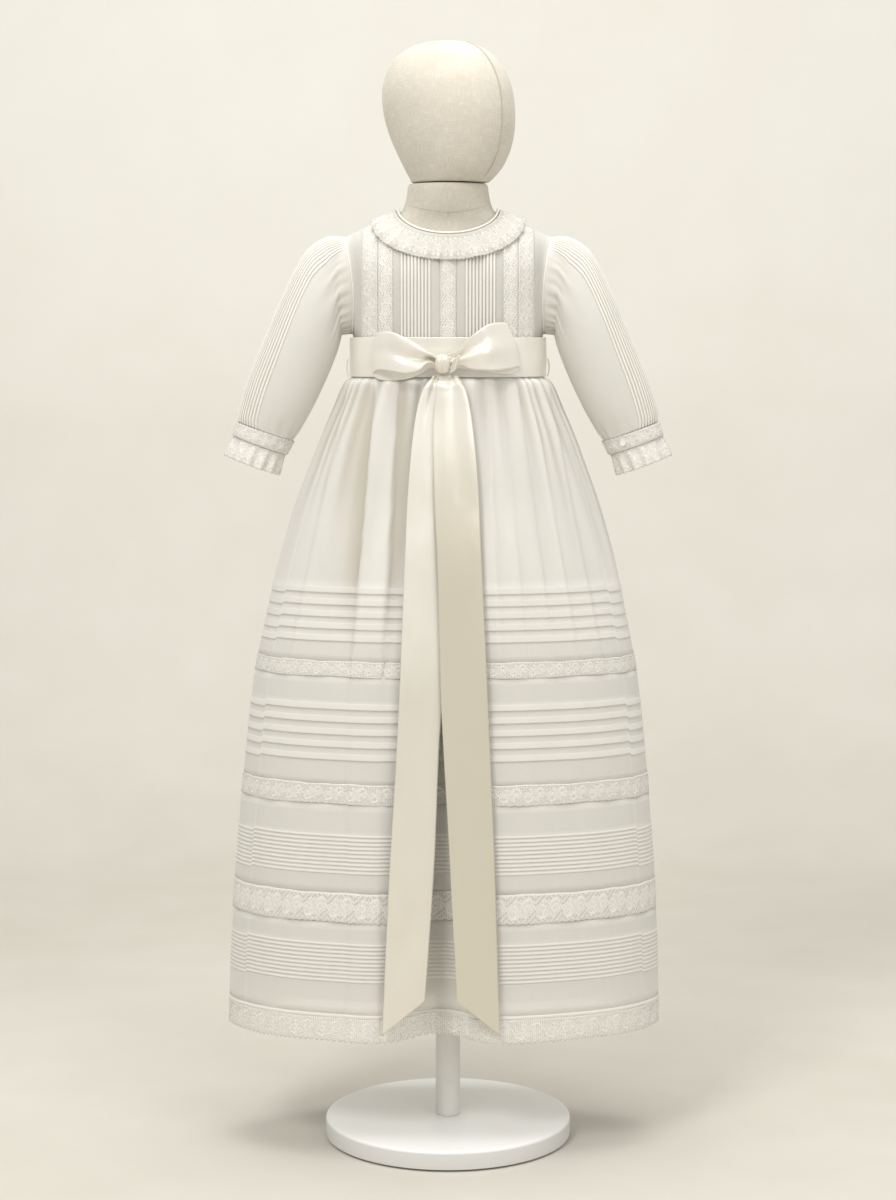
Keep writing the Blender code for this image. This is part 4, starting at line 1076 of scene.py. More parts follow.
@dataclass
class Chest:
    """The bodice's outer shape, fitted over the form. A row is a height, half width and half depth."""

    rows: tuple = (
        (800, 98.0, 56.5), (846, 98.0, 56.5), (900, 102.0, 58.0), (947, 106.0, 58.0), (980, 109.0, 58.0),
    )
    power: float = 2.5
    neck_half: float = 52.0
    neck_side: float = 973.0
    slope: float = 0.49
    round_z: float = 900.0
    arm_depth: float = 24.0
    arm_bottom: float = 847.5
    arm_end: float = 106.0
    foot: float = 822.3
    flat_x: float = 88.0
    depth: float = 58.0

    def shoulder(self, x: Array) -> Array:
        """The shoulder line's height at x."""
        return self.neck_side - self.slope * (np.abs(x) - self.neck_half)

    def face_y(self, x: Array, z: Array) -> Array:
        """How far the front or back face lies from the plane of the side seams."""
        rise = np.clip((z - self.round_z) / (self.shoulder(x) - self.round_z), 0, 1)
        across = np.clip(np.abs(x) / read(self.rows, 1, z), 0, 1) ** self.power
        return read(self.rows, 2, z) * np.sqrt(1 - rise * rise) * (1 - across) ** (1 / self.power)

    def arm_top(self) -> float:
        """Height of the shoulder's end."""
        return float(self.shoulder(self.arm_end))

    def arm_edge(self, z: Array) -> tuple[Array, Array]:
        """The armhole's and side seam's x and depth at height z."""
        middle = (self.arm_top() + self.arm_bottom) / 2
        reach = np.clip((z - middle) / (self.arm_top() - middle), -1, 1)
        y = self.arm_depth * np.sqrt(1 - reach * reach)
        x = read(self.rows, 1, z) * (1 - (y / self.depth) ** self.power) ** (1 / self.power)
        return x, y

    def neck(self, x: Array, lowest: float) -> Array:
        """The neckline's height at x."""
        across = np.clip(np.abs(x) / self.neck_half, 0, 1)
        return lowest + (self.neck_side - lowest) * (1 - np.sqrt(1 - across * across))

    def points(self, x: Array, share: Array, face: int, lowest: float, rise: Array = 0.0) -> Array:
        """Points of the bodice's front or back.

        Args:
            x: Columns; past flat_x they run on to the armhole at arm_end.
            share: How far up each column, from the waist seam to its top.
            face: -1 for the front and 1 for the back.
            lowest: The neckline's lowest height on that face.
            rise: How far out the points are moved.

        Returns:
            The points.
        """
        x, share, rise = np.broadcast_arrays(x, share, rise)
        size = np.abs(x)
        top = np.where(size < self.neck_half, self.neck(x, lowest), self.shoulder(size))
        z = self.foot + share * (top - self.foot)
        edge_z = self.foot + share * (self.arm_top() - self.foot)
        edge_x, edge_y = self.arm_edge(edge_z)
        past = np.clip((size - self.flat_x) / (self.arm_end - self.flat_x), 0, 1)
        real = np.where(past > 0, self.flat_x + past * (edge_x - self.flat_x), size)
        y = np.maximum(self.face_y(real, z), SEAM)
        y = y + rise * np.clip((1 - share) * 6, 0, 1)
        y = y + (np.maximum(edge_y, SEAM) - y) * past ** 1.6
        return place(np.sign(x) * real, face * y, z)


@dataclass
class PearlButton:
    """A low round button with a rim and a dimple, facing along normal."""

    name: str
    centre: Array
    normal: Array
    radius: float
    thick: float = 1.8
    rim: float = 0.28
    dimple: float = 0.4

    def make(self) -> Object:
        """Model the button from a disc by insets and extrusions, then turn it to its seat."""
        choose()
        bpy.ops.mesh.primitive_cylinder_add(vertices=28, radius=self.radius * MM, depth=self.thick * MM)
        made = bpy.context.view_layer.objects.active
        made.name = self.name
        bpy.ops.object.mode_set(mode="EDIT")
        bpy.ops.mesh.select_all(action="DESELECT")
        shape = bmesh.from_edit_mesh(made.data)
        for face in shape.faces:
            face.select = face.normal.z > 0.9
        bmesh.update_edit_mesh(made.data)
        for share, sink in ((self.rim, 0.35), (self.dimple, 0.15)):
            bpy.ops.mesh.inset(thickness=self.radius * share * MM)
            bpy.ops.transform.translate(value=(0, 0, -sink * MM))
        bpy.ops.object.mode_set(mode="OBJECT")
        edge = made.modifiers.new("edge", "BEVEL")
        edge.width = 0.3 * MM
        edge.segments = 2
        apply_modifiers(made)
        made.data.shade_smooth()
        turn = Vector((0, 0, 1)).rotation_difference(Vector(self.normal)).to_matrix().to_4x4()
        made.data.transform(turn)
        middle = Vector(self.centre + np.asarray(self.normal) * self.thick / 2) * MM
        for vertex in made.data.vertices:
            vertex.co += middle
        return made


@dataclass
class Bodice:
    """The tucked front with its lace bands, the buttoned back, and the waist seam.

    A tuck's profile is rows of the way across, the way out and the share of tucked cloth, which is below 0
    at a tuck's edges as painted shade in the gaps between tucks.
    """

    chest: Chest
    front_low: float = 947.0
    back_low: float = 962.0
    centre_lace: tuple = (-8.0, 8.0)
    tuck_start: float = 17.5
    tuck_pitch: float = 3.5
    tucks: int = 9
    tuck_rise: float = 1.35
    # The -0.6 at each tuck's edges is painted shade in the gaps between tucks.
    tuck_profile: tuple = (
        (0.0, 0.0, -0.6), (0.12, 0.4, 0.9), (0.34, 0.9, 1.0),
        (0.54, 1.0, 1.0), (0.66, 0.85, 1.0), (0.72, 0.05, -0.6),
    )
    centre_columns: tuple = (1.5, 4, 6.5, 8, 10.5, 13, 15.5)
    side_columns: tuple = (
        49.2, 51, 53, 55, 58, 61, 64, 67, 70, 73, 76, 79, 82, 85, 88, 90, 92.5, 95, 97.5, 100, 102.5, 104.5,
    )
    back_columns: tuple = (10, 16, 24, 32, 40, 48, 51, 56, 64, 72, 80, 88, 92, 96, 100, 103, 106.0)
    lap_columns: tuple = (
        (-6.0, 1.0, 1.0), (-5.4, 1.1, 1.0), (-2, 1.1, 1.0), (2, 1.1, 1.0), (5.4, 1.1, 1.0), (6.5, 0.2, 0.5),
    )
    under_columns: tuple = ((-6.15, 0.0, 1.0), (-7.5, 0.0, 1.0))
    inner_lace: tuple = (56.0, 71.0)
    outer_lace: tuple = (71.4, 88.0)
    rows: int = 44
    band_columns: int = 9
    buttons: tuple = (0.37, 0.62, 0.86)
    button_radius: float = 3.6

    def shares(self) -> Array:
        """Shares of the way up, from the top down, closer together at the shoulder."""
        return (1 - np.linspace(0, 1, self.rows) ** 1.7)[:, None]

    def front(self) -> Cloth:
        """The front's cloth, tucked on both sides of the centre."""
        half = [(x, 0.0, 0.0) for x in self.centre_columns]
        for k in range(self.tucks):
            start = self.tuck_start + self.tuck_pitch * k
            half += [
                (start + self.tuck_pitch * at, self.tuck_rise * out, full)
                for at, out, full in self.tuck_profile
            ]
        half += [(x, 0.0, 0.0) for x in self.side_columns] + [(self.chest.arm_end, 0.0, 1.0)]
        both = [(-x, out, full) for x, out, full in reversed(half)] + half
        x, rise, layers = np.array(both).T[:, None, :]
        points = self.chest.points(x, self.shares(), -1, self.front_low, rise=rise)
        return Cloth("front_bodice_cloth", points, layers=layers)

    def band(self, name: str, edges: tuple, motifs: float) -> Cloth:
        """A lace insertion down the front."""
        x = np.linspace(*edges, self.band_columns)[None, :]
        share = (1 - np.linspace(0.004, 1, self.rows) ** 1.5)[:, None]
        edge = np.abs(np.linspace(-1, 1, self.band_columns))[None, :] ** 6
        points = self.chest.points(x, share, -1, self.front_low, rise=0.75 + 0.25 * edge)
        across, along = np.meshgrid(np.linspace(0, 1, self.band_columns), np.linspace(0, motifs, self.rows))
        return Cloth(name, points, False, np.stack([along, across], axis=-1), thickness=0.45)

    def back_panel(self, side: Side) -> Cloth:
        """One back panel; the right one laps over the left at the centre."""
        centre = self.lap_columns if side is Side.RIGHT else self.under_columns
        spread = [(side.value * x, 0.0, 0.0) for x in self.back_columns]
        columns = np.array(sorted([*centre, *spread], reverse=True))
        x, rise, layers = columns.T[:, None, :]
        points = self.chest.points(x, self.shares(), 1, self.back_low, rise=rise)
        return Cloth(f"back_bodice_{side.word}", points, layers=layers)

    def button(self, k: int, share: float) -> PearlButton:
        """A back button, a share of the way up the lap."""
        seat, above = self.chest.points(0.0, np.array([share, share + 0.02]), 1, self.back_low, rise=1.1)
        along = (above - seat) / np.linalg.norm(above - seat)
        normal = np.array([0, along[2], -along[1]])
        return PearlButton(f"back_pearl_{k}", seat + normal * SEAM, normal, self.button_radius)

    def build(self, finishes: Finishes) -> None:
        """Build and dress the bodice."""
        front = finishes.bodice_voile.dress(self.front().make(), "bodice_front")
        bands = [("centre_insertion", self.centre_lace, "bodice_lace_centre", finishes.bodice_lace, 6.5)]
        for side in Side:
            for word, edges, lace in (
                ("inner", self.inner_lace, finishes.bodice_lace),
                ("outer", self.outer_lace, finishes.wide_lace),
            ):
                low_high = tuple(sorted(side.value * edge for edge in edges))
                node = f"bodice_lace_{word}_{side.word}"
                bands.append((f"{word}_insertion_{side.word}", low_high, node, lace, 6.0))
        laces = [
            lace.dress(self.band(name, edges, motifs).make(), node)
            for name, edges, node, lace, motifs in bands
        ]
        for side in Side:
            panel = finishes.bodice_voile.dress(self.back_panel(side).make(), f"bodice_back_{side.word}")
        for k, share in enumerate(self.buttons, start=1):
            finishes.pearl.dress(self.button(k, share).make(), f"back_button_{k}")


@dataclass
class Collar:
    """The gathered lace collar, open at the centre back, under a satin binding."""

    chest: Chest
    reach: float = 25.0
    front: tuple = (947.0, 921.0)
    back: tuple = (962.0, 938.0)
    side_z: float = 959.0
    waves: int = 25
    wave: float = 4.8
    lift: float = 2.2
    slit: float = math.radians(1.2)
    motifs: int = 36
    puckers: int = 51
    pucker: float = 0.5
    piping: float = 1.4

    def path(self, angle: Array, reach: Array) -> Array:
        """Points on the bodice's face, reach 0 at the neckline and 1 at the collar's edge."""
        ahead = np.cos(angle) > 0
        turn = 1 - np.abs(np.cos(angle))
        x = (self.chest.neck_half + self.reach * reach) * np.sin(angle)
        inner = np.where(ahead, self.front[0], self.back[0])
        inner = inner + (self.chest.neck_side - inner) * turn
        outer = np.where(ahead, self.front[1], self.back[1])
        outer = outer + (self.side_z - outer) * turn
        z = np.minimum(inner + (outer - inner) * reach, self.chest.shoulder(x))
        return place(x, np.where(ahead, -1, 1) * self.chest.face_y(x, z), z)

    def away(self, angle: Array, reach: Array) -> Array:
        """Unit vectors out from the bodice."""
        gap = 0.13
        along = self.path(angle + gap, reach) - self.path(angle - gap, reach)
        out = self.path(angle, reach + gap) - self.path(angle, reach - gap)
        normal = -np.cross(along, out)
        return normal / np.linalg.norm(normal, axis=-1, keepdims=True)

    def ruffle(self) -> Cloth:
        """The gathered lace, scalloped along its edge."""
        columns = self.motifs * 3 * 8
        angle = np.linspace(-math.pi + self.slit, math.pi - self.slit, columns + 1)[None, :]
        reach = np.array([0.02, 0.08, 0.16, 0.26, 0.37, 0.48, 0.59, 0.7, 0.8, 0.88, 0.94, 1.0])[:, None]
        uneven = angle + 0.05 * np.sin(5 * angle + 1.0) + 0.03 * np.sin(8 * angle + 0.4)
        swell = self.wave * reach ** 1.4 * (0.75 + 0.25 * np.sin(4 * angle + 0.7))
        fold = ((1 - np.cos(self.waves * uneven)) / 2) ** 1.4
        pucker = self.pucker * mound(reach, 0.08, 0.12) * (1 + np.cos(self.puckers * angle)) / 2
        scallop = 0.045 * np.abs(np.sin(angle * self.motifs * 1.5)) * step(0.8, 1.0, reach)
        far = reach * 0.965 + scallop
        depth = self.lift + swell * fold + pucker
        points = self.path(angle, far)
        points = points + self.away(angle, np.broadcast_to(reach, far.shape)) * depth[..., None]
        uv = motif_uv(len(reach), columns + 1, False, self.motifs)
        return Cloth("collar_lace_frill", points, False, uv, thickness=0.4)

    def build(self, finishes: Finishes) -> None:
        """Build and dress the ruffle and the binding."""
        ruffle = finishes.collar_lace.dress(self.ruffle().make(), "collar_ruffle")
        turn = np.linspace(-math.pi + self.slit, math.pi - self.slit, 181)
        out = place(np.sin(turn), -np.cos(turn), 0)
        line = self.path(turn, np.zeros_like(turn)) - out * 0.7 + place(0, 0, SEAM + 1.75)
        finishes.satin.dress(thread("neck_piping", line, self.piping, sides=4), "neck_binding")


@dataclass
class SleeveShape:
    """A sleeve's sections from the armhole to the wrist.

    A row is a place along the sleeve, the top's x and z, the low edge's x and z, the half depth
    and how full the cloth is.
    """

    rows: tuple = (
        (0, 114.0, 947.0, 109.5, 846.0, 27.0),
        (1, 127.0, 945.0, 113.0, 833.0, 31.0),
        (2, 146.0, 931.5, 119.5, 816.0, 35.0),
        (3, 166.0, 895.5, 128.5, 796.0, 37.5),
        (4, 187.0, 848.0, 140.5, 770.0, 36.0),
        (5, 205.0, 805.0, 151.5, 750.5, 31.5),
        (6, 216.0, 770.0, 159.0, 740.5, 27.0),
        (7, 216.8, 757.5, 161.0, 738.0, 25.0),
    )

    def section(self, t: Array) -> list[Array]:
        """The section's five measures at places t along the rows."""
        return [read(self.rows, k, t) for k in range(1, 6)]


def oval_points(section: list[Array], side: Side, angle: Array, rise: Array = 0.0) -> Array:
    """Points of a sleeve's oval section.

    Args:
        section: The top's x and z, the low edge's x and z, and the half depth.
        side: Which sleeve.
        angle: 0 at the top edge and a quarter turn on at the front.
        rise: How far out the points are moved.

    Returns:
        The points.
    """
    top_x, top_z, low_x, low_z, half_depth = section
    half_x = (top_x - low_x) / 2
    half_z = (top_z - low_z) / 2
    length = np.hypot(half_x, half_z)
    grown = (length + rise) / length
    x = (top_x + low_x) / 2 + half_x * grown * np.cos(angle)
    z = (top_z + low_z) / 2 + half_z * grown * np.cos(angle)
    return place(side.value * x, -(half_depth + rise) * np.sin(angle), z)


def between(first: tuple, last: tuple, share: Array) -> list[Array]:
    """A section between two, by share."""
    return [low + (high - low) * share for low, high in zip(first, last)]


@dataclass
class Sleeve:
    """A long sleeve with tucks over its top and front, its cuff, frill and button.

    A tuck's profile is rows of the way across, the way out and the share of tucked cloth, which is below 0
    at a tuck's edges as painted shade in the gaps between tucks. The cuff's and frill's ends are sections,
    as a sleeve shape's rows are.
    """

    chest: Chest
    shape: SleeveShape
    side: Side
    tucks: int = 10
    # The -0.7 at each tuck's edges is painted shade in the gaps between tucks.
    tuck_profile: tuple = (
        (0.0, 0.0, -0.7), (0.14, 0.45, 0.9), (0.36, 0.95, 1.0),
        (0.54, 1.0, 1.0), (0.62, 0.8, 1.0), (0.68, 0.05, -0.7),
    )
    first_tuck: float = 0.10
    band_places: tuple = (-1.0, 0.0, 1.0, 3.0, 5.0, 6.5)
    band_widths: tuple = (0.62, 0.78, 0.92, 1.02, 1.15, 1.25)
    plain_columns: int = 110
    rise: float = 1.05
    puff: float = 2.4
    pucker: float = 2.6
    # How much painted shade darkens the puckers at the sleeve head.
    pucker_shade: float = 0.25
    pinch: float = 2.0
    sway: float = 0.54
    gap: float = 0.45
    lap: float = math.radians(104)
    motifs: int = 12
    frill_waves: int = 13
    frill_wave: float = 2.6
    cuff_top: tuple = (217.6, 757.0, 160.6, 737.5, 25.6)
    cuff_low: tuple = (221.8, 743.2, 168.0, 723.6, 25.0)
    frill_top: tuple = (222.0, 743.6, 167.7, 724.0, 25.3)
    frill_low: tuple = (231.0, 722.6, 175.6, 702.0, 28.0)

    @property
    def flip(self) -> bool:
        """Whether this side's grids run the other way round."""
        return self.side is Side.RIGHT

    def places(self) -> Array:
        """Places along the sleeve, from -1 at the armhole to 7 at the wrist."""
        head = [-1, -0.8, -0.55, -0.3, -0.1, *np.arange(0.0, 1.6, 0.1)]
        return np.array([*head, *np.arange(1.7, 6.0, 0.1), *np.linspace(6, 7, 12)])[:, None]

    def sleeve(self) -> Cloth:
        """The sleeve's cloth, from the armhole's own curve to the wrist."""
        band = [(k + at, out, full) for k in range(self.tucks) for at, out, full in self.tuck_profile]
        at, out, full = np.array(band).T
        t = self.places()
        section = self.shape.section(np.clip(t, 0, None))
        spread = np.interp(t, self.band_places, self.band_widths)
        around = np.linspace(0, 1, self.plain_columns, endpoint=False)
        last = self.first_tuck + spread
        tuck_angle = self.first_tuck + at[None, :] / self.tucks * spread
        plain_angle = last + (self.first_tuck + TAU - last) * around[None, :]
        angle = np.concatenate([tuck_angle, plain_angle], axis=1)
        none = np.zeros(self.plain_columns)
        tucked = np.concatenate([out, none])[None, :]
        layers = np.concatenate([full, none])[None, :]
        free = np.concatenate([np.zeros(len(out)), np.sin(math.pi * around) ** 0.5])[None, :]
        share = np.concatenate([np.zeros(len(out)), around])[None, :]
        head = step(-1.0, -0.2, t) * (1 - step(0.6, 2.4, t))
        wrist = step(4.6, 6.2, t) * (1 - 0.7 * step(6.5, 7.0, t))
        puffs = (1 - np.cos(TAU * (11 * share + 0.35 * np.sin(TAU * 2 * share)))) / 2
        pinch = (1 - np.cos(TAU * (15 * share + 0.4 * np.sin(TAU * 3 * share)))) / 2
        drape = np.sin(angle * 3 + t * 1.7) * step(1.0, 3.0, t) * (1 - step(5.0, 6.5, t))
        lines = mound((26 * share + 0.3 * np.sin(TAU * 3 * share)) % 1, 0.5, 0.2)
        reach = 1.5 + 0.5 * np.sin(TAU * 5 * share)
        puckers = self.pucker * lines * step(-1.0, -0.5, t) * (1 - step(0.1, reach, t))
        gathers = head * self.puff * puffs ** 1.5 + puckers + wrist * self.pinch * pinch ** 1.3
        sag = -free * (gathers - self.sway * drape)
        grown = self.rise * tucked * step(-1.0, -0.8, t)
        points = oval_points(section, self.side, angle, rise=grown + sag)
        root = self.armhole(angle)
        blend = step(-1.0, 0.0, t) * 0.35 + np.clip(t + 1, 0, 1) * 0.65
        points = root + (points - root) * np.clip(blend, 0, 1)[..., None]
        # Painted shade along the puckers at the sleeve head.
        painted_shade = layers - self.pucker_shade * free * puckers
        return Cloth(f"sleeve_cloth_{self.side.word}", points, True, layers=painted_shade, flip=self.flip)

    def armhole(self, angle: Array) -> Array:
        """The armhole's curve, moved out from the bodice."""
        top, bottom = self.chest.arm_top(), self.chest.arm_bottom
        z = (top + bottom) / 2 + (top - bottom) / 2 * np.cos(angle)
        edge_x, _ = self.chest.arm_edge(z)
        y = -self.chest.arm_depth * np.sin(angle)
        return place(self.side.value * (edge_x + self.gap), y, z)

    def cuff(self) -> Cloth:
        """The cuff band, raised where it laps."""
        turn = self.side.value
        away = np.concatenate([np.linspace(0, 0.998, 96), [0.9985, 0.9995]]) * TAU
        angle = (turn * self.lap + turn * away)[None, :]
        share = np.array([0, 0.02, 0.06, 0.1, 0.3, 0.5, 0.7, 0.9, 0.94, 0.98, 1.0])[:, None]
        hemmed = (share < 0.08) | (share > 0.92)
        lapped = 0.9 * step(0.70, 0.76, away / TAU) * (1 - step(0.9985, 0.9995, away / TAU))
        waves = 0.25 * np.sin(17 * angle) * np.sin(math.pi * share)
        section = between(self.cuff_top, self.cuff_low, share)
        points = oval_points(section, self.side, angle, rise=lapped[None, :] + 0.35 * hemmed + waves)
        return Cloth(f"cuff_cloth_{self.side.word}", points, True, layers=0.45 + 0.5 * hemmed, flip=True)

    def frill(self) -> Cloth:
        """The lace frill below the cuff, with a scalloped edge."""
        rows, columns = 12, self.motifs * 3 * 9
        angle = np.linspace(0, TAU, columns, endpoint=False)[None, :]
        share = np.linspace(0, 1, rows)[:, None]
        scallop = 0.045 * np.abs(np.sin(angle * self.motifs * 3 / 2)) * step(0.8, 1, share)
        section = between(self.frill_top, self.frill_low, share * 0.96 + scallop)
        uneven = angle + 0.07 * np.sin(3 * angle + 1) + 0.04 * np.sin(5 * angle)
        wave = self.frill_wave * share ** 0.8 * np.cos(self.frill_waves * uneven)
        wave = wave * (0.8 + 0.2 * np.sin(4 * angle))
        points = oval_points(section, self.side, angle, rise=wave)
        uv = motif_uv(rows, columns, True, self.motifs)
        return Cloth(f"cuff_frill_{self.side.word}", points, True, uv, thickness=0.4, flip=self.flip)

    def heading(self) -> Cloth:
        """The lace laid over the cuff, scalloped along its upper edge."""
        rows, columns = 9, self.motifs * 3 * 6
        angle = np.linspace(0, TAU, columns, endpoint=False)[None, :]
        share = np.linspace(0.02, 1, rows)[:, None]
        scallop = 0.09 * (1 - np.abs(np.sin(angle * self.motifs * 3 / 2))) * step(0.4, 0.02, share)
        section = between(self.cuff_top, self.cuff_low, share + scallop)
        points = oval_points(section, self.side, angle, rise=1.75 + 0.2 * np.sin(19 * angle))
        uv = motif_uv(rows, columns, True, self.motifs)
        return Cloth(f"cuff_heading_{self.side.word}", points, True, uv, thickness=0.35, flip=self.flip)

    def button(self) -> PearlButton:
        """The cuff's pearl button, just past its lap."""
        angle = np.array(self.side.value * (self.lap + math.radians(10)))
        middle = between(self.cuff_top, self.cuff_low, 0.5)
        seat = oval_points(middle, self.side, angle)
        centre = np.array([self.side.value * (middle[0] + middle[2]) / 2, 0, (middle[1] + middle[3]) / 2])
        normal = (seat - centre) / np.linalg.norm(seat - centre)
        return PearlButton(f"cuff_pearl_{self.side.word}", seat + normal * 1.6, normal, radius=3.0)

    def build(self, finishes: Finishes) -> None:
        """Build and dress the sleeve and its cuff."""
        word = self.side.word
        sleeve = finishes.sleeve_voile.dress(self.sleeve().make(), f"sleeve_{word}")
        cuff = finishes.voile.dress(self.cuff().make(), f"cuff_{word}")
        frill = finishes.cuff_lace.dress(self.frill().make(), f"cuff_lace_{word}")
        heading = finishes.cuff_lace.dress(self.heading().make())
        pearl = finishes.pearl.dress(self.button().make(), f"cuff_button_{word}")
        angle = np.linspace(0, TAU, 96, endpoint=False)
        finishes.thread.dress(thread(f"armhole_seam_{word}", self.armhole(angle), 0.55, closed=True))


@dataclass
class Sash:
    """The satin band round the waist and the thread loops that hold it."""

    half_width: float = 101.2
    half_depth: float = 60.4
    power: float = 2.5
    top: float = 844.0
    bottom: float = 804.0
    swell: float = 0.5
    columns: int = 260
    loop_out: float = 1.75
    loop_middle: float = 813.0
    loop_half: float = 9.0
    loop_radius: float = 0.7

    def front(self, x: Array) -> Array:
        """The front face's y at x, where the band swells out most."""
        across = np.clip(np.abs(x) / (self.half_width + self.swell), 0, 1) ** self.power
        return -(self.half_depth + self.swell) * (1 - across) ** (1 / self.power)

    def band(self) -> Cloth:
        """The band, with soft creases that run to the knot."""
        angle = ring(self.columns)
        share = [0, 0.015, 0.04, 0.1, 0.2, 0.3, 0.4, 0.5, 0.6, 0.7, 0.8, 0.9, 0.96, 0.985, 1.0]
        share = np.array(share)[:, None]
        crease = 0.5 * np.cos(TAU * 2.5 * share) * mound(angle, 0, 0.5)
        crease = crease + 0.28 * np.sin(TAU * share + 3 * angle) * np.sin(TAU * 0.5 * share)
        out = (self.swell + crease) * np.sin(math.pi * share)
        x, y, out_x, out_y = oval(angle, self.half_width, self.half_depth, self.power)
        z = self.top + (self.bottom - self.top) * share
        return Cloth("sash_band_satin", place(x + out_x * out, y + out_y * out, z), True, thickness=0.6)

    def build(self, finishes: Finishes) -> None:
        """Build and dress the band and the loops."""
        band = finishes.satin.dress(self.band().make(), "sash")
        share = np.linspace(-1, 1, 25)
        for side in Side:
            x = side.value * (self.half_width + self.loop_out + 1.6 * (1 - share ** 2))
            path = place(x, 0.35 * np.sin(share * 22), self.loop_middle + share * self.loop_half)
            loop = thread(f"thread_loop_{side.word}", path, self.loop_radius)
            finishes.thread.dress(loop, f"belt_loop_{side.word}")


@dataclass
class BowLoop:
    """One loop of the bow.

    Rows are a share out, then x and z of its top, lower and back edges. A valley is its level,
    width, depth and reach.
    """

    side: Side
    rows: tuple
    sash: Sash
    valleys: tuple
    clear: float = 5.1
    swing: float = 7.0
    thin: float = 3.2
    belly: float = 8.2
    bulge: float = 2.5
    gather: float = 0.7

    def cloth(self) -> Cloth:
        """The ribbon from the knot out round the tip and back."""
        turn = np.linspace(0, TAU, 121)[None, :]
        level = np.linspace(1, 0, 25)[:, None]
        share = (1 - np.cos(turn)) / 2
        behind = step(math.pi - 0.5, math.pi + 0.5, turn)
        top_x, top_z, front_x, front_z, back_x, back_z = (read(self.rows, k, share) for k in range(1, 7))
        low_x = front_x * (1 - behind) + back_x * behind
        low_z = front_z * (1 - behind) + back_z * behind
        x = low_x + (top_x - low_x) * level
        x = x + self.side.value * np.sin(math.pi * level) * share ** 6 * self.bulge
        z = low_z + (top_z - 0.8 * behind - low_z) * level
        belly = np.sin(math.pi * np.clip(0.12 + 0.88 * share, 0, 1) ** 1.5)
        rounded = np.sqrt(np.clip(1 - share ** 5, 0, 1))
        thick = (self.thin + self.belly * belly) * rounded
        y = self.sash.front(x) - self.clear - self.swing * belly - np.sign(math.pi - turn) * thick
        for at, width, depth, reach in self.valleys:
            hollow = depth * mound(level, at + 0.12 * share, width) * mound(share, 0, reach)
            y = y + (1 - behind) * hollow * step(0, 0.12, share)
        y = y + self.gather * np.cos(TAU * 3.5 * level + 0.6) * np.exp(-share / 0.16)
        name = f"bow_loop_satin_{self.side.word}"
        return Cloth(name, place(x, y, z), thickness=0.55, flip=self.side is Side.LEFT)


@dataclass
class Ribbon:
    """A hanging sash end. Rows are a height, the left edge and the right edge.

    A fold is its place across, its width and how far it goes back.
    """

    side: Side
    rows: tuple
    skirt: SkirtShape
    lift: float
    folds: tuple
    top: float = 806.0
    tip_z: float = 135.5
    clear: float = 5.7
    columns: int = 29
    slant_rows: int = 13
    tuck_under: float = 3.0
    tip_shift: float = 1.8

    def back_y(self, x: Array, z: Array) -> Array:
        """Where the skirt's front lies behind the ribbon."""
        half_width, half_depth, power = (read(self.skirt.rows, k, z) for k in (1, 2, 4))
        across = np.clip(np.abs(x) / half_width, 0, 1) ** power
        return -half_depth * (1 - across) ** (1 / power)

    def cloth(self) -> Cloth:
        """The ribbon, folded where it leaves the knot, cut slantwise at its end, and with painted shade
        lower down.
        """
        under = self.side is Side.LEFT
        bottom = self.rows[-1][0]
        down = np.concatenate([np.linspace(self.top, 740, 45), np.linspace(738, bottom, 110)])
        slant = np.linspace(0, 1, self.slant_rows + 1)[1:, None]
        share = np.linspace(0, 1, self.columns)[None, :]
        level = np.concatenate([down, np.full(self.slant_rows, bottom)])[:, None] + 0 * share
        drop = slant * (0.4 + (bottom - self.tip_z) * ((1 - share) if under else share))
        z = np.vstack([level[: len(down)], bottom - drop])
        left = read(self.rows, 1, level)
        right = read(self.rows, 2, level)
        if under:
            right = right + self.tuck_under * step(self.top, 790, level) * step(430, 500, level)
        below = np.clip((bottom - z) / (bottom - self.tip_z), 0, 1)
        x = left + (right - left) * share + self.side.value * self.tip_shift * below
        near = np.exp(-(self.top - z) / 46.0)
        y = self.back_y(x, z) - self.clear
        for at, width, depth in self.folds:
            y = y + near * depth * mound(share, at, width)
        y = y - self.lift * mound(self.top - z, 0, 30.0)
        sway = 0.9 * np.sin(z / 52.0 + 2.2 * share + (0.8 if under else 2.1))
        sway = sway + 0.5 * np.sin(z / 29.0 - 3.0 * share)
        hidden = 1 - share ** 3 if under else 1.0
        y = y - np.clip(sway + 0.6, 0, None) * step(800, 700, z) * hidden
        # Painted shade on the satin: half on the left end below about 470-580 mm, full on the right end
        # from 800 mm down to 620 mm.
        if under:
            y = y - 2.0 * share * (1 - share ** 6)
            painted_shade = 0.5 * step(580, 470, level)
        else:
            y = y - 1.3 * (1 - share) ** 2 - 3.2 * (1 - share)
            painted_shade = step(800, 620, level)
        return Cloth(f"sash_end_{self.side.word}", place(x, y, z), layers=painted_shade, thickness=0.6)


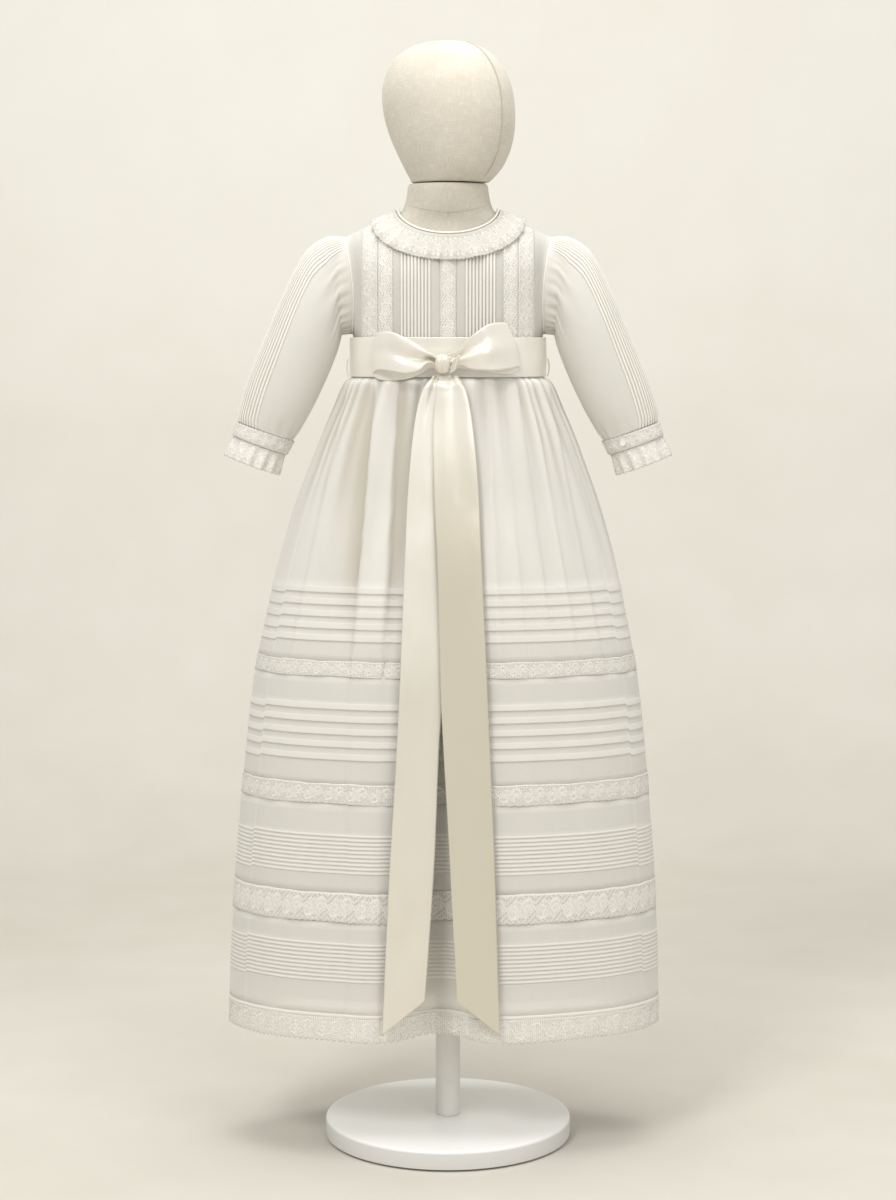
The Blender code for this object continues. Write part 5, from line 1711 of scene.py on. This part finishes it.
@dataclass
class Bow:
    """The bow at the front of the sash, with its knot and two long ends."""

    sash: Sash
    skirt: SkirtShape
    left_loop: tuple = (
        (0.0, -9, 826.0, -9, 813.0, -9, 811.0),
        (0.15, -17.5, 829.3, -19, 818.5, -17.5, 812.5),
        (0.35, -30, 837.0, -29, 810.8, -28, 806.5),
        (0.55, -44, 844.0, -43, 808.2, -42, 801.8),
        (0.75, -57, 849.4, -58, 810.2, -57, 800.3),
        (0.9, -66, 849.8, -70, 811.2, -68, 801.0),
        (1.0, -72, 848.6, -77, 808.6, -76, 804.0),
    )
    left_valleys: tuple = ((0.40, 0.15, 8.0, 0.6), (0.78, 0.18, -3.0, 0.7))
    right_loop: tuple = (
        (0.0, 0, 827.0, 0, 813.0, 0, 811.5),
        (0.15, 9.5, 830.5, 13, 816.0, 13, 812.5),
        (0.35, 20, 842.5, 23, 812.6, 22, 811.0),
        (0.55, 31, 850.7, 36, 811.4, 36, 809.6),
        (0.75, 41, 857.0, 51, 811.0, 49, 808.0),
        (0.9, 51, 859.0, 65, 812.6, 62, 806.8),
        (1.0, 59.5, 858.8, 73.5, 815.4, 73, 809.4),
    )
    right_valleys: tuple = ((0.62, 0.15, 7.0, 0.45), (0.35, 0.2, -4.0, 0.8))
    left_tail: tuple = (
        (806, -15, -9.5), (790, -26, -12), (755, -34, -15.2), (687, -40.5, -14.4), (621, -43.5, -11.4),
        (480, -49.5, -7.6), (395, -54, -10.5), (313, -59, -13.7), (218, -63.7, -20.0), (174, -65.5, -23.4),
    )
    left_folds: tuple = ((0.62, 0.2, 4.0), (0.2, 0.3, -2.5))
    right_tail: tuple = (
        (806, -8.9, 10), (790, -11.2, 18.5), (755, -14.6, 25), (687, -13.8, 31), (621, -10.8, 34),
        (480, -7.0, 40.3), (345, 0.4, 46.1), (267, 4.3, 48.9), (174, 9.2, 51.5),
    )
    right_folds: tuple = ((0.55, 0.2, 3.0), (0.85, 0.16, -3.0))
    knot_centre: tuple = (-5.5, -73.0, 817.5)
    knot_half: tuple = (7.6, 9.0, 9.4)
    # Share of painted shade over the whole knot.
    knot_shade: float = 0.35

    def knot(self) -> Cloth:
        """Two wraps of ribbon round the roots of the loops."""
        polar = np.linspace(0.06, math.pi - 0.06, 36)[:, None]
        angle = ring(96)
        round_off = np.sin(polar) ** 0.6
        half_x, half_y, half_z = self.knot_half
        x = half_x * signed_power(np.sin(angle), 0.7) * round_off
        y = -half_y * signed_power(np.cos(angle), 0.7) * round_off
        z = half_z * signed_power(np.cos(polar), 0.8)
        fine = 0.45 * np.cos(x * 2.3 + 0.5) + 0.3 * np.cos(x * 4.1)
        y = y * (1 - 0.32 * mound(x, 0.6, 1.2)) + fine * np.sign(np.cos(angle)) * round_off * 0.6
        points = place(x, y, z) + np.array(self.knot_centre)
        return Cloth("bow_knot_satin", points, True, layers=self.knot_shade, thickness=0.0, capped=True)

    def ear(self) -> Cloth:
        """The little roll of ribbon beside the knot, under the right loop's root."""
        turn = np.linspace(0, 1, 40)[None, :]
        level = np.linspace(1, 0, 16)[:, None]
        curl = math.pi * (0.15 + 1.25 * turn)
        radius = 4.6 - 1.5 * turn
        x = 4.0 + 4.2 * level + radius * np.sin(curl) * 0.9
        y = -79.0 - radius * np.cos(curl) * 0.55 - 1.5 * level
        z = 810.5 + 15.0 * level - 2.0 * turn + 1.2 * np.sin(curl)
        return Cloth("bow_ear_satin", place(x, y, z))

    def build(self, finishes: Finishes) -> None:
        """Build and dress the bow."""
        finishes.satin.dress(self.knot().make(), "bow_knot")
        for side, rows, valleys in (
            (Side.LEFT, self.left_loop, self.left_valleys),
            (Side.RIGHT, self.right_loop, self.right_valleys),
        ):
            cloth = BowLoop(side, rows, self.sash, valleys).cloth()
            piece = finishes.satin.dress(cloth.make(), f"bow_loop_{side.word}")
        for side, rows, lift, folds in (
            (Side.LEFT, self.left_tail, 3.0, self.left_folds),
            (Side.RIGHT, self.right_tail, 4.5, self.right_folds),
        ):
            cloth = Ribbon(side, rows, self.skirt, lift, folds).cloth()
            piece = finishes.satin.dress(cloth.make(), f"sash_tail_{side.word}")
        finishes.satin.dress(self.ear().make())


def ring_solid(name: str, rings: tuple, turn: float = 0.0) -> Object:
    """Model a solid by extruding and resizing an oval face ring by ring.

    Args:
        name: The piece's name.
        rings: Rows of height, half width, half depth and shift to the back.
        turn: How far it is turned about Z at the end.

    Returns:
        The new object, with UVs in metres.
    """
    choose()
    z, half_width, half_depth, shift = rings[0]
    bpy.ops.mesh.primitive_circle_add(vertices=64, radius=1.0, fill_type="NGON", location=(0, 0, 0))
    made = bpy.context.view_layer.objects.active
    made.name = name
    bpy.ops.object.mode_set(mode="EDIT")
    bpy.ops.mesh.select_all(action="SELECT")
    bpy.ops.transform.resize(value=(half_width * MM, half_depth * MM, 1), center_override=(0, 0, 0))
    bpy.ops.transform.translate(value=(0, shift * MM, z * MM))
    for row in rings[1:]:
        move = (0, (row[3] - shift) * MM, (row[0] - z) * MM)
        bpy.ops.mesh.extrude_region_move(TRANSFORM_OT_translate={"value": move})
        size = (row[1] / half_width, row[2] / half_depth, 1)
        bpy.ops.transform.resize(value=size, center_override=(0, row[3] * MM, row[0] * MM))
        z, half_width, half_depth, shift = row
    bpy.ops.mesh.select_all(action="SELECT")
    bpy.ops.mesh.normals_make_consistent(inside=False)
    bpy.ops.object.mode_set(mode="OBJECT")
    smooth = made.modifiers.new("smooth", "SUBSURF")
    smooth.levels = 1
    smooth.render_levels = 1
    apply_modifiers(made)
    made.data.shade_smooth()
    mean = sum(row[1] + row[2] for row in rings) / (2 * len(rings)) * MM
    layer = made.data.uv_layers.new(name="UVMap") if not made.data.uv_layers else made.data.uv_layers[0]
    for face in made.data.polygons:
        base = math.atan2(face.center.y, face.center.x)
        for index in face.loop_indices:
            spot = made.data.vertices[made.data.loops[index].vertex_index].co
            bend = math.atan2(spot.y, spot.x)
            bend += TAU * round((base - bend) / TAU)
            layer.data[index].uv = (bend * mean, spot.z)
    if turn:
        made.rotation_euler[2] = turn
        choose(made)
        bpy.ops.object.transform_apply(location=False, rotation=True, scale=False)
    return made


@dataclass
class DressForm:
    """The linen torso and the faceless head above it. A row is a ring of a ring solid."""

    torso: tuple = (
        (690, 60, 35, 0), (696, 76, 44, 0), (715, 86, 49, 0), (770, 89, 50.5, 0), (822, 90, 51, 0),
        (870, 94, 52, 0), (905, 98, 52, 0), (926, 99, 49, 0), (941, 97, 42, 0), (952, 86, 33, 0),
        (962, 66, 31, 0), (969, 50, 33.5, 0), (976, 45.2, 36.5, 0), (987, 42.3, 38.8, -1),
        (999.6, 41, 40, -1.5), (1000.6, 40.8, 39.8, -1.5),
    )
    head: tuple = (
        (1001.2, 37.5, 39.5, -2), (1001.9, 38.2, 41, -3), (1005, 40, 44.5, -5), (1015, 46, 53.5, -8),
        (1032, 53, 63, -8), (1052, 58.5, 70.5, -5), (1075, 61, 74.5, -1), (1097, 60, 74, 2),
        (1117, 54, 66, 4), (1132, 43.5, 53, 5), (1141, 30, 36, 5), (1145.2, 13, 15, 5),
    )
    turn: float = math.radians(46)
    seam_radius: float = 0.35
    head_seam_radius: float = 0.4

    def neck_seam(self, heights: Array, angle: Array) -> Array:
        """Points on the neck at angles round its front, a little proud of it."""
        half_width = read(self.torso, 1, heights) + 0.1
        half_depth = read(self.torso, 2, heights) + 0.1
        shift = read(self.torso, 3, heights)
        return place(half_width * np.sin(angle), shift - half_depth * np.cos(angle), heights)

    def head_seam(self) -> Array:
        """The seam from the crown down the front of the head."""
        z = np.linspace(1006, 1142, 60)
        reach = read(self.head, 2, z) - read(self.head, 3, z) - 0.3
        return place(reach * math.sin(self.turn), -reach * math.cos(self.turn), z)

    def build(self, finishes: Finishes) -> None:
        """Build and dress the torso, the head and their seams."""
        finishes.linen.dress(ring_solid("linen_torso", self.torso), "form_torso")
        finishes.linen.dress(ring_solid("linen_head", self.head, self.turn), "form_head")
        angle = np.linspace(-1.25, 1.25, 60)
        curved = self.neck_seam(970.5 + 8.5 * np.abs(np.sin(angle)) ** 1.6, angle)
        down = self.neck_seam(np.linspace(962, 970.5, 12), np.zeros(12))
        seams = (
            thread("neck_seam", curved, self.seam_radius),
            thread("neck_front_seam", down, self.seam_radius),
            thread("head_seam", self.head_seam(), self.head_seam_radius),
        )
        for seam in seams:
            finishes.seam.dress(seam)


@dataclass
class Stand:
    """The painted base plate, its pad and the pole."""

    base_radius: float = 130.0
    base_top: float = 21.5
    base_edge: float = 3.5
    pad_radius: float = 124.0
    pad_height: float = 1.8
    pole_radius: float = 13.0
    pole_top: float = 689.7
    gap: float = 0.3

    def turned(
        self, name: str, radius: float, low: float, high: float, top_edge: float, low_edge: float
    ) -> Object:
        """A turned disc or rod with both rims rounded.

        Args:
            name: The piece's name.
            radius: Its radius.
            low: Height of its underside.
            high: Height of its top.
            top_edge: Rounding of the upper rim.
            low_edge: Rounding of the lower rim.

        Returns:
            The new object.
        """
        choose()
        middle = (0, 0, (low + high) / 2 * MM)
        bpy.ops.mesh.primitive_cylinder_add(
            vertices=128, radius=radius * MM, depth=(high - low) * MM, location=middle
        )
        made = bpy.context.view_layer.objects.active
        made.name = name
        bpy.ops.object.transform_apply(location=True, rotation=False, scale=False)
        for edge, height in ((top_edge, high), (low_edge, low)):
            bpy.ops.object.mode_set(mode="EDIT")
            bpy.ops.mesh.select_mode(type="EDGE")
            bpy.ops.mesh.select_all(action="DESELECT")
            shape = bmesh.from_edit_mesh(made.data)
            for rim in shape.edges:
                rim.select = all(abs(vertex.co.z - height * MM) < 1e-6 for vertex in rim.verts)
            bmesh.update_edit_mesh(made.data)
            bpy.ops.mesh.bevel(offset=edge * MM, segments=5, affect="EDGES")
            bpy.ops.object.mode_set(mode="OBJECT")
        choose(made)
        bpy.ops.object.shade_smooth_by_angle(angle=math.radians(40))
        return made

    def build(self, finishes: Finishes) -> None:
        """Build and dress the stand."""
        low = self.pad_height + self.gap
        foot = self.base_top + self.gap
        pad = self.turned("base_pad_rubber", self.pad_radius, 0.0, self.pad_height, 0.3, 0.3)
        plate = self.turned("base_plate_painted", self.base_radius, low, self.base_top, self.base_edge, 0.8)
        pole = self.turned("pole_painted", self.pole_radius, foot, self.pole_top, 0.5, 0.5)
        finishes.rubber.dress(pad, "base_pad")
        finishes.plate_paint.dress(plate, "base_plate")
        finishes.paint.dress(pole, "pole")


@dataclass
class Studio:
    """The pale sweep, the soft lights and the camera.

    A lamp is its name, place, aim, size, power and colour.
    """

    width: float = 5.0
    front: float = -2.4
    back: float = 1.25
    bend: float = 0.7
    height: float = 3.2
    wall_from: float = 0.8
    camera_at: tuple = (0.0, -2.6, 0.84)
    camera_tilt: float = math.radians(84.1)
    lens: float = 75.1
    # The floor's tones are darker than the wall's on the same paper: painted shade.
    floor_dark: Colour = (0.595, 0.57, 0.505, 1)
    floor_light: Colour = (0.66, 0.64, 0.58, 1)
    wall_dark: Colour = (0.775, 0.757, 0.695, 1)
    wall_light: Colour = (0.822, 0.809, 0.758, 1)
    sky: Colour = (1.0, 0.985, 0.95, 1)
    sky_strength: float = 0.585
    lamps: tuple = (
        ("key", (-1.2, -2.2, 2.9), (0, 0, 0.6), 0.9, 42.0, (1.0, 0.985, 0.96)),
        ("fill", (1.9, -2.3, 1.9), (0, 0, 0.6), 1.6, 18.0, (1.0, 0.985, 0.96)),
        ("top", (0.0, -0.2, 3.0), (0, 0, 0), 1.6, 42.0, (1.0, 0.99, 0.97)),
    )

    def paper(self) -> Material:
        """The sweep's paper: the floor's darker tone below as painted shade, the wall's above, and clear
        from behind.
        """
        bench = FinishBench("studio_paper")
        cloud = bench.noise(bench.spot, 1.7, 5.0)
        fine = bench.noise(bench.spot, 9.0, 4.0)
        tone = bench.vary(bench.calc("MULTIPLY_ADD", fine, 0.35, bench.calc("MULTIPLY", cloud, 0.65)))
        # Painted shade: the floor's darker tones.
        floor = bench.tint(tone, self.floor_dark, self.floor_light)
        wall = bench.tint(tone, self.wall_dark, self.wall_light)
        height = bench.span(bench.split(bench.spot)[2], 0.0, self.wall_from)
        behind = bench.node("ShaderNodeNewGeometry").outputs["Backfacing"]
        return bench.finish({
            "Base Color": bench.tint(height, floor, wall),
            "Alpha": bench.calc("SUBTRACT", 1.0, behind),
            "Roughness": 0.95,
            "Specular IOR Level": 0.1,
        })

    def sweep(self) -> None:
        """The floor that curves up into the backdrop."""
        bend = np.linspace(0, math.pi / 2, 24)[1:]
        floor = np.linspace(self.front, self.back, 40)
        y = np.concatenate([floor, self.back + self.bend * np.sin(bend), [self.back + self.bend]])
        z = np.concatenate([0 * floor, self.bend * (1 - np.cos(bend)), [self.height]])
        x = np.linspace(-self.width / 2, self.width / 2, 30)
        points = place(x[None, :], y[:, None], z[:, None]) / MM
        made = Cloth("studio_sweep", points, thickness=0.0, flip=True).make()
        made.data.materials.append(self.paper())

    def light(
        self, name: str, place_at: tuple, aim: tuple, size: float, power: float, colour: tuple
    ) -> None:
        """A soft square light aimed at a point."""
        lamp = bpy.data.lights.new(name, "AREA")
        lamp.shape = "SQUARE"
        lamp.size = size
        lamp.energy = power
        lamp.color = colour
        made = bpy.data.objects.new(name, lamp)
        made.location = place_at
        made.rotation_euler = (Vector(aim) - Vector(place_at)).to_track_quat("-Z", "Y").to_euler()
        bpy.context.scene.collection.objects.link(made)

    def build(self) -> None:
        """Set the stage."""
        self.sweep()
        for lamp in self.lamps:
            self.light(*lamp)
        scene = bpy.context.scene
        scene.world = bpy.data.worlds.new("studio")
        scene.world.use_nodes = True
        sky = scene.world.node_tree.nodes["Background"]
        sky.inputs["Color"].default_value = self.sky
        sky.inputs["Strength"].default_value = self.sky_strength
        scene.view_settings.view_transform = "Standard"
        lens = bpy.data.cameras.new("camera")
        lens.lens = self.lens
        lens.sensor_width = 36.0
        scene.camera = bpy.data.objects.new("camera", lens)
        scene.camera.location = self.camera_at
        scene.camera.rotation_euler = (self.camera_tilt, 0, 0)
        scene.collection.objects.link(scene.camera)


def main() -> None:
    """Load the frame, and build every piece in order."""
    logging.basicConfig(level=logging.INFO, format="%(message)s")
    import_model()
    Studio().build()
    finishes = Finishes()
    chest = Chest()
    skirt = SkirtShape()
    sash = Sash()
    Stand().build(finishes)
    DressForm().build(finishes)
    Bodice(chest).build(finishes)
    Collar(chest).build(finishes)
    for side in Side:
        Sleeve(chest, SleeveShape(), side).build(finishes)
    Skirt(skirt).build(finishes)
    Slip(skirt).build(finishes)
    sash.build(finishes)
    Bow(sash, skirt).build(finishes)


if __name__ == "__main__":
    main()
